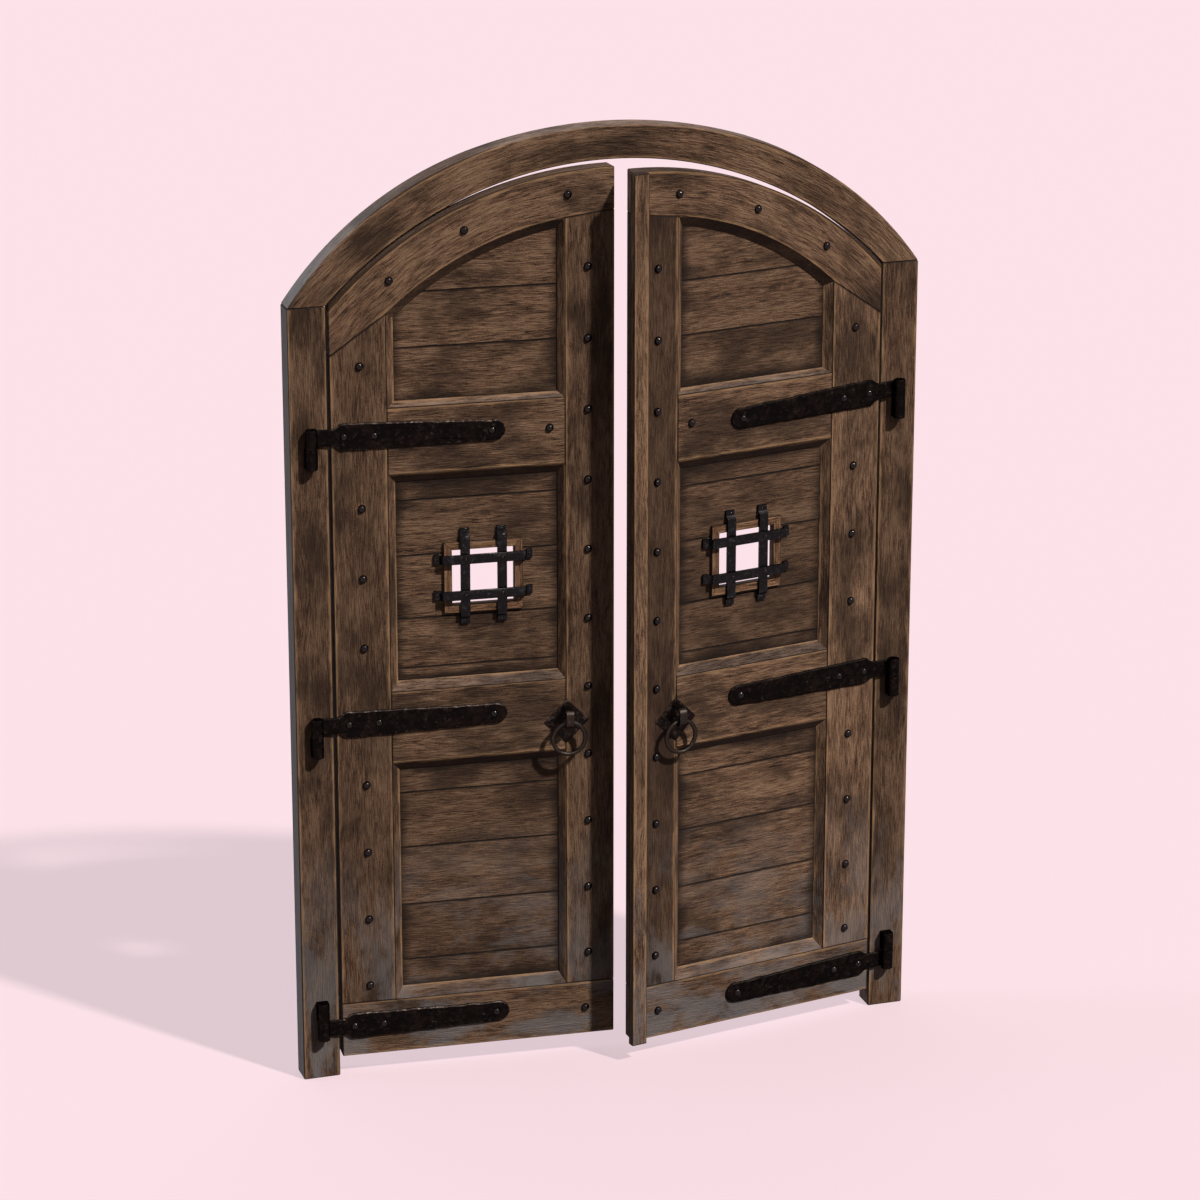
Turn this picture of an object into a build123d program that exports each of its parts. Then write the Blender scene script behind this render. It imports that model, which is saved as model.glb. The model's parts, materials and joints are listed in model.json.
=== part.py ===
from build123d import *
import math
import os
from dataclasses import dataclass

# Castle door: two ajar oak leaves on iron pintles in an arched oak frame.
# Millimetres. X runs to the viewer's right, Y into the wall, Z up.
# The origin is on the floor, midway between the posts, in the plane of the frame's front.
os.makedirs("parts", exist_ok=True)

# Frame
half_width = 979.0
post_width = 114.0
frame_depth = 78.0
overall_height = 2900.0
arch_rise = 476.0
crown_ring = 100.0
crown_radius = 1414.0
crown_half_angle = 16.5
arris = 2.5

# Gaps round and between the leaves
hinge_gap = 6.5
head_gap = 5.5
meeting_gap = 13.0
floor_gap = 64.0

# Leaf joinery
leaf_thickness = 60.0
hinge_stile_width = 167.5
meeting_stile_width = 149.0
bottom_rail_width = 172.0
lock_rail_width = 225.0
upper_rail_width = 203.0
upper_panel_side = 283.0
lower_panel_share = 0.532
arched_rail_width = 133.5
rail_curve_gain = 24.0
heel_fall = 117.0
toe_rise = 19.0
meeting_bevel = 9.0
left_open_angle = 4.35
right_open_angle = 10.84

# Panels: boards housed in grooves behind mitred sloping mouldings
panel_depth = 22.0
board_thickness = 14.0
groove_depth = 12.0
board_joint = 0.2
vee_width = 3.6
vee_depth = 2.6
moulding_lip = 2.0
hinge_moulding = 25.0
meeting_moulding = 21.0
head_moulding = 28.0
mitre_kerf = 0.3

# Window and its iron grille
window_width = 190.0
window_height = 171.0
window_share = 0.591
window_lift = 3.0
trim_width = 25.0
trim_thickness = 10.0
bar_width = 29.0
bar_thickness = 8.0
upright_clearance = 13.5
crossbar_clearance = 5.0
bar_pitch = 112.0
grille_lift = 2.5
foot_length = 17.0
crank_run = 8.0
foot_nail_inset = 9.0

# Nails, rivets and studs
shank_radius = 4.0
shank_length = 34.0
shank_clearance = 0.1
stud_radius = 13.0
stud_height = 11.0
rivet_radius = 10.0
rivet_height = 7.0
small_rivet_radius = 7.0
small_rivet_height = 4.5
stud_pitch = 216.5
meeting_stud_inset = 80.5
meeting_stud_rise = 100.0
hinge_stud_across = 88.5
hinge_stud_rise = 56.0
stud_margin = 13.0
bottom_stud_inset = 90.5
bottom_stud_rise = 87.0
upper_stud_inset = 47.5
upper_stud_rise = 113.0

# Pintles and strap hinges
pintle_inset = 54.0
pintle_stand_off = 20.0
pin_radius = 9.0
pin_clearance = 0.06
knuckle_radius = 18.0
knuckle_height = 60.0
bearing_gap = 0.4
pin_recess = 2.0
pintle_shank_radius = 10.0
pintle_tail = 6.0
washer_side = 52.0
washer_thickness = 5.0
nut_side = 32.0
nut_thickness = 16.0
iron_chamfer = 1.5
top_strap_rise = 128.0
middle_strap_rise = 135.0
bottom_strap_rise = 99.0
strap_thickness = 8.0
strap_rim = 3.0
strap_relief = 2.0
strap_stop = 182.5
strap_neck_half = 25.0
strap_shoulder_half = 41.0
strap_tip_half = 31.0
strap_shoulder_across = 39.5
strap_hinge_rivets = (38.0, 128.5)
strap_tip_rivet_inset = 40.0

# Ring handle
plate_side = 98.0
plate_thickness = 5.0
plate_chamfer = 3.0
plate_offset = 2.0
plate_rise = 91.0
ring_radius = 50.0
ring_wire_radius = 7.0
ring_stand_off = 34.0
ring_play = 2.2
staple_width = 26.0
staple_band = 7.0
staple_bend = 12.0
staple_round = 2.5
staple_clear_height = 44.0
staple_drop = 11.0
staple_leg_depth = 45.0
staple_clearance = 0.1

# Cover strip on the right leaf's meeting edge
strip_seat = 35.5
strip_overhang = 13.0
strip_thickness = 26.0
strip_rebate = 2.0
strip_drop = 3.0

# Sizes that follow
springing = overall_height - arch_rise
inner_half = half_width - post_width
inner_crown = overall_height - crown_ring
inner_rise = inner_crown - springing
inner_radius = (inner_half**2 + inner_rise**2) / (2 * inner_rise)
inner_centre = inner_crown - inner_radius
pintle_x = inner_half + pintle_inset
leaf_reach = pintle_inset + hinge_gap
centre_across = inner_half - hinge_gap
leaf_width = centre_across - meeting_gap / 2
leaf_radius = inner_radius - head_gap
opening_far = leaf_width - meeting_stile_width
arched_rail_radius = leaf_radius - arched_rail_width - rail_curve_gain
arched_opening_centre = inner_crown - head_gap - arched_rail_width - arched_rail_radius


def arc_height(across, radius, centre):
    """Height of an arc centred on the doorway's middle, above a point across a leaf."""
    return centre + math.sqrt(radius**2 - (centre_across - across) ** 2)


# Heights: the upper panel hangs from the arch, and the two tall panels share what is left
heel = arc_height(hinge_stile_width, arched_rail_radius, arched_opening_centre)
toe = arc_height(opening_far, arched_rail_radius, arched_opening_centre)
bottom_rail_top = floor_gap + bottom_rail_width
upper_rail_top = heel - upper_panel_side
upper_rail_foot = upper_rail_top - upper_rail_width
lower_panel_height = lower_panel_share * (upper_rail_foot - bottom_rail_top - lock_rail_width)
lock_rail_foot = bottom_rail_top + lower_panel_height
lock_rail_top = lock_rail_foot + lock_rail_width

# The window lies between the mouldings of the middle panel
bar_end = trim_width + crank_run + foot_length
upright_half = window_height / 2 + bar_end + upright_clearance
crossbar_half = window_width / 2 + bar_end + crossbar_clearance
window_near = hinge_stile_width + hinge_moulding + crossbar_half
window_far = opening_far - meeting_moulding - crossbar_half
window_across = window_near + window_share * (window_far - window_near)
window_centre_height = (lock_rail_top + upper_rail_foot) / 2 + window_lift
grille_height = window_centre_height + grille_lift

# Straps and ring handle follow the rails that carry them
top_strap_height = upper_rail_foot + top_strap_rise
middle_strap_height = lock_rail_foot + middle_strap_rise
bottom_strap_height = floor_gap + bottom_strap_rise
strap_reach = opening_far - strap_stop
plate_across = opening_far + plate_offset
plate_height = lock_rail_foot + plate_rise
staple_foot_height = plate_height - staple_drop
staple_head_height = staple_foot_height + 2 * staple_band + staple_clear_height
ring_axis_height = staple_foot_height + staple_band + ring_play + ring_wire_radius


@dataclass
class Panel:
    """One panel opening: its foot, its head (None under the arch), and its board widths."""

    name: str
    foot: float
    head: float
    foot_moulding: float
    boards: tuple

    def corners(self, hinge, meeting, head, foot):
        """Corner points of the opening, each side grown outwards by its own amount."""
        near = hinge_stile_width - hinge
        far = opening_far + meeting
        low = self.foot - foot
        if self.head is None:
            radius = arched_rail_radius + head
            near_top = arc_height(near, radius, arched_opening_centre)
            far_top = arc_height(far, radius, arched_opening_centre)
        else:
            near_top = self.head + head
            far_top = near_top
        return [(near, low), (far, low), (far, far_top), (near, near_top)]


panels = [
    Panel("lower", bottom_rail_top, lock_rail_foot, 35.0, (120.0, 180.0, 186.0, 177.0)),
    Panel("middle", lock_rail_top, upper_rail_foot, 28.0, (66.0, 155.0, 196.0, 171.0)),
    Panel("upper", upper_rail_top, None, 15.0, (174.0, 166.0)),
]


@dataclass
class Leaf:
    """One leaf: its side of the doorway (-1 left, +1 right) and how it hangs.

    The first arch stud is measured from the meeting edge, the others from the hinge edge.
    """

    name: str
    side: int
    open_angle: float
    arch_studs: tuple
    strap_droops: tuple

    def place(self, depth):
        """Location on the leaf's hinge edge, at floor level, this far behind its front."""
        pintle = Location((self.side * pintle_x, -pintle_stand_off, 0), (0, 0, self.side * self.open_angle))
        return pintle * Location((-self.side * leaf_reach, pintle_stand_off + depth, 0))

    def face(self, depth):
        """Sketch plane parallel to the leaf's front: x across, y up, z towards the viewer."""
        return Plane(self.place(depth) * Plane.XZ.location)

    def edge(self, across):
        """Sketch plane square to the leaf's width: x up, y towards the viewer."""
        front = self.face(0)
        start = front.from_local_coords((-self.side * across, 0, 0))
        return Plane(start, x_dir=front.y_dir, z_dir=front.x_dir)

    def plan(self, height):
        """Horizontal sketch plane: x across, y into the leaf from its front."""
        front = self.face(0)
        return Plane(front.from_local_coords((0, height, 0)), x_dir=front.x_dir, z_dir=(0, 0, 1))

    def at(self, across, height):
        """Sketch point on a face plane, from a distance across the leaf and a height."""
        return (-self.side * across, height)


leaves = [
    Leaf("left", -1, left_open_angle, (140.0, 403.5, 179.5), (1.0, 0.0, -0.5)),
    Leaf("right", 1, right_open_angle, (151.0, 434.5, 195.5), (2.4, 0.4, 0.9)),
]
strap_heights = {"top": top_strap_height, "middle": middle_strap_height, "bottom": bottom_strap_height}


def keep(part, name):
    """Label a finished piece and write it to its own file."""
    part.label = name
    export_step(part, f"parts/{name}.step")


# Frame: two posts under an arched head, which is three arcs outside and one inside.
# The lowest pintle of each leaf is upside down, so its boss stands above the strap.
boss_step = knuckle_height + bearing_gap
boss_heights = [
    top_strap_height - boss_step,
    middle_strap_height - boss_step,
    bottom_strap_height + boss_step,
]

for side, name in ((-1, "left_post"), (1, "right_post")):
    with BuildPart() as post:
        with BuildSketch(Plane.XY):
            with Locations((side * (half_width - post_width / 2), frame_depth / 2)):
                Rectangle(post_width, frame_depth)
        extrude(amount=springing)
        chamfer(post.edges().filter_by(Axis.Z).group_by(Axis.Y)[0], arris)
        with BuildSketch(Plane.XZ):
            with Locations(*[(side * pintle_x, height) for height in boss_heights]):
                Circle(pintle_shank_radius + shank_clearance)
        extrude(amount=-frame_depth, mode=Mode.SUBTRACT)
    keep(post.part, name)

turn = math.radians(crown_half_angle)
crown_centre = overall_height - crown_radius
to_springing = (half_width, springing - crown_centre)
along = half_width * math.sin(turn) + to_springing[1] * math.cos(turn)
haunch_radius = (half_width**2 + to_springing[1] ** 2 - 2 * crown_radius * along + crown_radius**2) / (
    2 * (crown_radius - along)
)
haunch_x = (crown_radius - haunch_radius) * math.sin(turn)
haunch_z = crown_centre + (crown_radius - haunch_radius) * math.cos(turn)
haunch_start = math.degrees(math.atan2(springing - haunch_z, half_width - haunch_x))
haunch_sweep = 90 - crown_half_angle - haunch_start

with BuildPart() as head:
    with BuildSketch(Plane.XZ):
        with BuildLine():
            CenterArc((haunch_x, haunch_z), haunch_radius, haunch_start, haunch_sweep)
            CenterArc((0, crown_centre), crown_radius, 90 - crown_half_angle, 2 * crown_half_angle)
            CenterArc((-haunch_x, haunch_z), haunch_radius, 90 + crown_half_angle, haunch_sweep)
            Line((-half_width, springing), (-inner_half, springing))
            ThreePointArc((-inner_half, springing), (0, inner_crown), (inner_half, springing))
            Line((inner_half, springing), (half_width, springing))
        make_face()
    extrude(amount=-frame_depth)
    front_edges = head.faces().sort_by(Axis.Y)[0].outer_wire().edges()
    chamfer(front_edges.filter_by(GeomType.CIRCLE), arris)
keep(head.part, "arched_head")


# Pintles: an upright pin on a boss that seats on the post, with a shank right through it
def pintle(leaf, place):
    """One forged pintle, its pin pointing up, or down where its strap hangs below it."""
    rising = -1 if place == "bottom" else 1
    eye_face = strap_heights[place] - rising * (knuckle_height / 2 + bearing_gap)
    boss_low = min(eye_face, eye_face - rising * knuckle_height)
    pin_length = knuckle_height + bearing_gap - pin_recess
    centre = (leaf.side * pintle_x, -pintle_stand_off)
    with BuildPart() as forging:
        with BuildSketch(Plane.XY.offset(boss_low)):
            with Locations(centre):
                Circle(knuckle_radius)
            with Locations((centre[0], -pintle_stand_off / 2)):
                Rectangle(2 * knuckle_radius, pintle_stand_off)
        extrude(amount=knuckle_height)
        ends = forging.faces().filter_by(Axis.Z).edges().filter_by(GeomType.CIRCLE)
        chamfer(ends, iron_chamfer)
        with BuildSketch(Plane.XY.offset(eye_face)):
            with Locations(centre):
                Circle(pin_radius)
        extrude(amount=rising * pin_length)
        with BuildSketch(Plane.XZ):
            with Locations((centre[0], boss_low + knuckle_height / 2)):
                Circle(pintle_shank_radius)
        extrude(amount=-(frame_depth + washer_thickness + nut_thickness + pintle_tail))
    keep(forging.part, f"{leaf.name}_{place}_pintle")


for leaf in leaves:
    for place in strap_heights:
        pintle(leaf, place)

shank_points = [(side * pintle_x, height) for side in (-1, 1) for height in boss_heights]
with BuildPart() as washers:
    with BuildSketch(Plane.XZ.offset(-frame_depth)):
        with Locations(*shank_points):
            Rectangle(washer_side, washer_side)
            Circle(pintle_shank_radius + shank_clearance, mode=Mode.SUBTRACT)
    extrude(amount=-washer_thickness)
keep(washers.part, "pintle_washers")

with BuildPart() as nuts:
    with BuildSketch(Plane.XZ.offset(-(frame_depth + washer_thickness))):
        with Locations(*shank_points):
            Rectangle(nut_side, nut_side)
            Circle(pintle_shank_radius + shank_clearance, mode=Mode.SUBTRACT)
    extrude(amount=-nut_thickness)
keep(nuts.part, "pintle_nuts")


# Fixing points, shared by the nails and by the holes that hold them
def stud_points(leaf):
    """Face points of a leaf's dome studs: up both stiles, missing the straps, and round the arch."""
    meeting = leaf_width - meeting_stud_inset
    height = bottom_rail_top + meeting_stud_rise
    points = []
    while height < toe - stud_radius - stud_margin:
        points.append((meeting, height))
        height += stud_pitch
    height = bottom_rail_top + hinge_stud_rise
    clear = strap_shoulder_half + stud_radius + stud_margin
    while height < heel - heel_fall - stud_radius - stud_margin:
        if all(abs(height - strap) > clear for strap in strap_heights.values()):
            points.append((hinge_stud_across, height))
        height += stud_pitch
    points.append((leaf_width - bottom_stud_inset, floor_gap + bottom_stud_rise))
    points.append((opening_far - upper_stud_inset, upper_rail_foot + upper_stud_rise))
    for across in (leaf_width - leaf.arch_studs[0], *leaf.arch_studs[1:]):
        top = arc_height(across, leaf_radius, inner_centre)
        foot = arc_height(across, arched_rail_radius, arched_opening_centre)
        points.append((across, (top + foot) / 2))
    return [leaf.at(across, height) for across, height in points]


def strap_fall(leaf, place, across):
    """Height of a strap's middle line at a point across the leaf."""
    droop = leaf.strap_droops[list(strap_heights).index(place)]
    return strap_heights[place] - (across + leaf_reach) * math.tan(math.radians(droop))


def strap_rivet_points(leaf):
    """Face points of the rivets of a leaf's three straps."""
    stops = (*strap_hinge_rivets, strap_reach - strap_tip_rivet_inset)
    return [leaf.at(a, strap_fall(leaf, place, a)) for place in strap_heights for a in stops]


def staple_points(leaf):
    """Face points of the middles of the ring staple's two legs."""
    low = staple_foot_height + staple_band / 2
    high = staple_head_height - staple_band / 2
    return [leaf.at(plate_across, low), leaf.at(plate_across, high)]


def grille_points(leaf):
    """Face points of the crossings of the bars, and of the nails in the bars' feet."""
    half = bar_pitch / 2
    high = upright_half - foot_nail_inset
    wide = crossbar_half - foot_nail_inset
    crossings = [(i * half, j * half) for i in (-1, 1) for j in (-1, 1)]
    feet = [(i * half, j * high) for i in (-1, 1) for j in (-1, 1)]
    feet += [(i * wide, j * half) for i in (-1, 1) for j in (-1, 1)]
    shift = leaf.at(window_across, grille_height)
    return (
        [(shift[0] + x, shift[1] + z) for x, z in crossings],
        [(shift[0] + x, shift[1] + z) for x, z in feet],
    )


# Leaf joinery: each member is cut from the front view and given grooves and nail holes
def outline(leaf, points):
    """Lines round a four-sided piece, from its corner points."""
    Polyline(*[leaf.at(*point) for point in points], close=True)


def panel_outline(leaf, panel, hinge, meeting, head, foot):
    """Lines round a panel opening, each side grown outwards by its own amount."""
    points = panel.corners(hinge, meeting, head, foot)
    if panel.head is None:
        corners = [leaf.at(*point) for point in points]
        middle = (points[2][0] + points[3][0]) / 2
        crest = arc_height(middle, arched_rail_radius + head, arched_opening_centre)
        Polyline(*corners[:3])
        ThreePointArc(corners[2], leaf.at(middle, crest), corners[3])
        Line(corners[3], corners[0])
    else:
        outline(leaf, points)


def fit_out(leaf):
    """Cut the board grooves, the nail holes and the staple's slots in the piece being built."""
    for panel in panels:
        with BuildSketch(leaf.face(panel_depth)) as groove:
            with BuildLine():
                panel_outline(leaf, panel, groove_depth, groove_depth, groove_depth, groove_depth)
            make_face()
        extrude(groove.sketch, amount=-board_thickness, mode=Mode.SUBTRACT)
    with BuildSketch(leaf.face(0)) as holes:
        with Locations(*stud_points(leaf), *strap_rivet_points(leaf)):
            Circle(shank_radius + shank_clearance)
    extrude(holes.sketch, amount=-shank_length, mode=Mode.SUBTRACT)
    with BuildSketch(leaf.face(0)) as slots:
        with Locations(*staple_points(leaf)):
            Rectangle(staple_width + 2 * staple_clearance, staple_band + 2 * staple_clearance)
    extrude(slots.sketch, amount=-(staple_leg_depth + staple_clearance), mode=Mode.SUBTRACT)


def bevel_meeting_edge(leaf):
    """Slope the meeting edge back, so that one leaf clears the other as it swings."""
    side = -leaf.side
    with BuildSketch(leaf.plan(0)) as wedge:
        with BuildLine():
            Polyline(
                (side * leaf_width, 0),
                (side * (leaf_width + meeting_gap), 0),
                (side * (leaf_width + meeting_gap), leaf_thickness),
                (side * (leaf_width - meeting_bevel), leaf_thickness),
                close=True,
            )
        make_face()
    extrude(wedge.sketch, amount=overall_height, mode=Mode.SUBTRACT)


def stile(leaf, name, corners, meets):
    """A stile, from the bottom rail up to its sloping joint with the arched rail."""
    with BuildPart() as member:
        with BuildSketch(leaf.face(0)):
            with BuildLine():
                outline(leaf, corners)
            make_face()
        extrude(amount=-leaf_thickness)
        fit_out(leaf)
        if meets:
            bevel_meeting_edge(leaf)
    keep(member.part, f"{leaf.name}_leaf_{name}")


def rail(leaf, name, near, far, foot, head):
    """A level rail, given by its ends across the leaf and its foot and head heights."""
    with BuildPart() as member:
        with BuildSketch(leaf.face(0)):
            with BuildLine():
                outline(leaf, [(near, foot), (far, foot), (far, head), (near, head)])
            make_face()
        extrude(amount=-leaf_thickness)
        fit_out(leaf)
        if far == leaf_width:
            bevel_meeting_edge(leaf)
    keep(member.part, f"{leaf.name}_leaf_{name}")


def arched_rail(leaf):
    """The curved top rail, resting on both stiles with sloping joints."""
    near_top = arc_height(0, leaf_radius, inner_centre)
    far_top = arc_height(leaf_width, leaf_radius, inner_centre)
    middle = leaf_width / 2
    span = (hinge_stile_width + opening_far) / 2
    with BuildPart() as member:
        with BuildSketch(leaf.face(0)):
            with BuildLine():
                Line(leaf.at(0, heel - heel_fall), leaf.at(0, near_top))
                ThreePointArc(
                    leaf.at(0, near_top),
                    leaf.at(middle, arc_height(middle, leaf_radius, inner_centre)),
                    leaf.at(leaf_width, far_top),
                )
                Line(leaf.at(leaf_width, far_top), leaf.at(leaf_width, toe + toe_rise))
                Line(leaf.at(leaf_width, toe + toe_rise), leaf.at(opening_far, toe))
                ThreePointArc(
                    leaf.at(opening_far, toe),
                    leaf.at(span, arc_height(span, arched_rail_radius, arched_opening_centre)),
                    leaf.at(hinge_stile_width, heel),
                )
                Line(leaf.at(hinge_stile_width, heel), leaf.at(0, heel - heel_fall))
            make_face()
        extrude(amount=-leaf_thickness)
        fit_out(leaf)
        bevel_meeting_edge(leaf)
    keep(member.part, f"{leaf.name}_leaf_arched_rail")


# Panels
def boards(leaf, panel):
    """The level boards of one panel, with a vee along each joint."""
    with BuildPart() as planks:
        with BuildSketch(leaf.face(panel_depth)):
            with BuildLine():
                panel_outline(leaf, panel, groove_depth, groove_depth, groove_depth, groove_depth)
            make_face()
        extrude(amount=-board_thickness)
        with BuildSketch(leaf.edge(0)):
            height = panel.foot
            for width in panel.boards:
                height += width
                if panel.head and height > panel.head - head_moulding:
                    break
                with Locations((height, -(panel_depth + board_thickness / 2))):
                    Rectangle(board_joint, board_thickness)
                with BuildLine():
                    Polyline(
                        (height - vee_width / 2, -panel_depth),
                        (height + vee_width / 2, -panel_depth),
                        (height, -(panel_depth + vee_depth)),
                        close=True,
                    )
                make_face()
        extrude(amount=-leaf.side * leaf_width, mode=Mode.SUBTRACT)
        if panel.foot < window_centre_height < (panel.head or 0):
            with BuildSketch(leaf.face(panel_depth)):
                with Locations(leaf.at(window_across, window_centre_height)):
                    Rectangle(window_width, window_height)
            extrude(amount=-board_thickness, mode=Mode.SUBTRACT)
            with BuildSketch(leaf.face(panel_depth)):
                with Locations(*grille_points(leaf)[1]):
                    Circle(shank_radius / 2 + shank_clearance)
            extrude(amount=-(board_thickness - moulding_lip), mode=Mode.SUBTRACT)
    keep(planks.part, f"{leaf.name}_leaf_{panel.name}_boards")


def cut_mitres(leaf, plane, outer, inner, depth):
    """Part a ring of strips at its corners with a fine saw cut along each mitre."""
    with BuildSketch(plane) as cuts:
        for start, end in zip(outer, inner):
            near = leaf.at(*start)
            far = leaf.at(*end)
            length = 2 * math.dist(near, far)
            angle = math.degrees(math.atan2(far[1] - near[1], far[0] - near[0]))
            with Locations(((near[0] + far[0]) / 2, (near[1] + far[1]) / 2)):
                Rectangle(length, mitre_kerf, rotation=angle)
    extrude(cuts.sketch, amount=-depth, mode=Mode.SUBTRACT)


def mouldings(leaf, panel):
    """Four sloping strips, mitred at the corners, from the leaf's face down to the boards."""
    insets = (-hinge_moulding, -meeting_moulding, -head_moulding, -panel.foot_moulding)
    slope_foot = panel_depth - moulding_lip
    with BuildPart() as strips:
        with BuildSketch(leaf.face(0)):
            with BuildLine():
                panel_outline(leaf, panel, 0, 0, 0, 0)
            make_face()
        extrude(amount=-panel_depth)
        with BuildSketch(leaf.face(0)):
            with BuildLine():
                panel_outline(leaf, panel, 0, 0, 0, 0)
            make_face()
        with BuildSketch(leaf.face(slope_foot)):
            with BuildLine():
                panel_outline(leaf, panel, *insets)
            make_face()
        loft(mode=Mode.SUBTRACT)
        with BuildSketch(leaf.face(slope_foot)):
            with BuildLine():
                panel_outline(leaf, panel, *insets)
            make_face()
        extrude(amount=-moulding_lip, mode=Mode.SUBTRACT)
        cut_mitres(leaf, leaf.face(0), panel.corners(0, 0, 0, 0), panel.corners(*insets), panel_depth)
    keep(strips.part, f"{leaf.name}_leaf_{panel.name}_mouldings")


# Window
def window_trim(leaf):
    """Four mitred wooden strips nailed to the boards round the window."""
    half_x = window_width / 2
    half_z = window_height / 2
    signs = ((-1, -1), (1, -1), (1, 1), (-1, 1))
    inner = [(window_across + i * half_x, window_centre_height + j * half_z) for i, j in signs]
    outer = [(x + i * trim_width, z + j * trim_width) for (x, z), (i, j) in zip(inner, signs)]
    plane = leaf.face(panel_depth - trim_thickness)
    with BuildPart() as trim:
        with BuildSketch(plane):
            with BuildLine():
                outline(leaf, outer)
            make_face()
            with Locations(leaf.at(window_across, window_centre_height)):
                Rectangle(window_width, window_height, mode=Mode.SUBTRACT)
        extrude(amount=-trim_thickness)
        cut_mitres(leaf, plane, outer, inner, trim_thickness)
    keep(trim.part, f"{leaf.name}_leaf_window_trim")


def cranked_profile(end, rise):
    """Side view of a flat bar of this half length, its feet cranked back by `rise`."""
    outer = end - foot_length
    inner = outer - crank_run
    back = [(-end, 0), (-outer, 0), (-inner, rise), (inner, rise), (outer, 0), (end, 0)]
    front = [(x, y + bar_thickness) for x, y in reversed(back)]
    return back + front


def grille_bars(leaf, name, upright, rise):
    """Two parallel bars with their feet on the boards, drilled for rivets and nails."""
    crossings, feet = grille_points(leaf)
    front = leaf.face(0)
    half_length = upright_half if upright else crossbar_half
    with BuildPart() as bars:
        for sign in (-1, 1):
            offset = sign * bar_pitch / 2
            middle = leaf.at(window_across, grille_height)
            if upright:
                start = (middle[0] + offset - bar_width / 2, middle[1], -panel_depth)
                plane = Plane(front.from_local_coords(start), x_dir=front.y_dir, z_dir=front.x_dir)
            else:
                start = (middle[0], middle[1] + offset + bar_width / 2, -panel_depth)
                plane = Plane(front.from_local_coords(start), x_dir=front.x_dir, z_dir=-front.y_dir)
            with BuildSketch(plane):
                with BuildLine():
                    Polyline(*cranked_profile(half_length, rise), close=True)
                make_face()
            extrude(amount=bar_width)
        with BuildSketch(leaf.face(panel_depth)):
            with Locations(*crossings, *feet):
                Circle(shank_radius / 2 + shank_clearance)
        extrude(amount=2 * panel_depth, mode=Mode.SUBTRACT)
    keep(bars.part, f"{leaf.name}_leaf_{name}")


def domed_nails(points, radius, height, shank, length):
    """Domed heads standing on the current plane, each with a round shank behind it."""
    sphere = (radius**2 + height**2) / (2 * height)
    cut = math.degrees(math.asin((sphere - height) / sphere))
    with Locations(*points):
        Sphere(sphere, arc_size1=cut, align=(Align.CENTER, Align.CENTER, Align.MIN))
        Cylinder(shank, length, align=(Align.CENTER, Align.CENTER, Align.MAX))


def studs(leaf):
    """The leaf's dome-headed studs."""
    with BuildPart(leaf.face(0)) as nails:
        domed_nails(stud_points(leaf), stud_radius, stud_height, shank_radius, shank_length)
    keep(nails.part, f"{leaf.name}_leaf_studs")


def strap_rivets(leaf):
    """The domed rivets that hold the straps."""
    with BuildPart(leaf.face(-strap_thickness)) as rivets:
        length = shank_length + strap_thickness
        domed_nails(strap_rivet_points(leaf), rivet_radius, rivet_height, shank_radius, length)
    keep(rivets.part, f"{leaf.name}_leaf_strap_rivets")


def grille_rivets(leaf):
    """Rivets through the bars' crossings, and nails through the bars' feet."""
    crossings, feet = grille_points(leaf)
    crossbar_front = panel_depth - trim_thickness - 2 * bar_thickness
    foot_front = panel_depth - bar_thickness
    shank = shank_radius / 2
    with BuildPart(leaf.face(crossbar_front)) as fixings:
        domed_nails(crossings, small_rivet_radius, small_rivet_height, shank, 2 * bar_thickness)
        with BuildSketch(leaf.face(foot_front)):
            with Locations(*feet):
                Circle(shank)
        extrude(amount=-(bar_thickness + board_thickness / 2))
        with BuildSketch(leaf.face(foot_front)):
            with Locations(*feet):
                Circle(2 * shank)
        extrude(amount=shank)
    keep(fixings.part, f"{leaf.name}_leaf_grille_rivets")


# Strap hinges
def front_edges(sheet):
    """Edges round the front of a flat piece."""
    return sheet.faces().sort_by(SortBy.AREA)[-2:].sort_by(Axis.Y)[0].outer_wire().edges()


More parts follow.
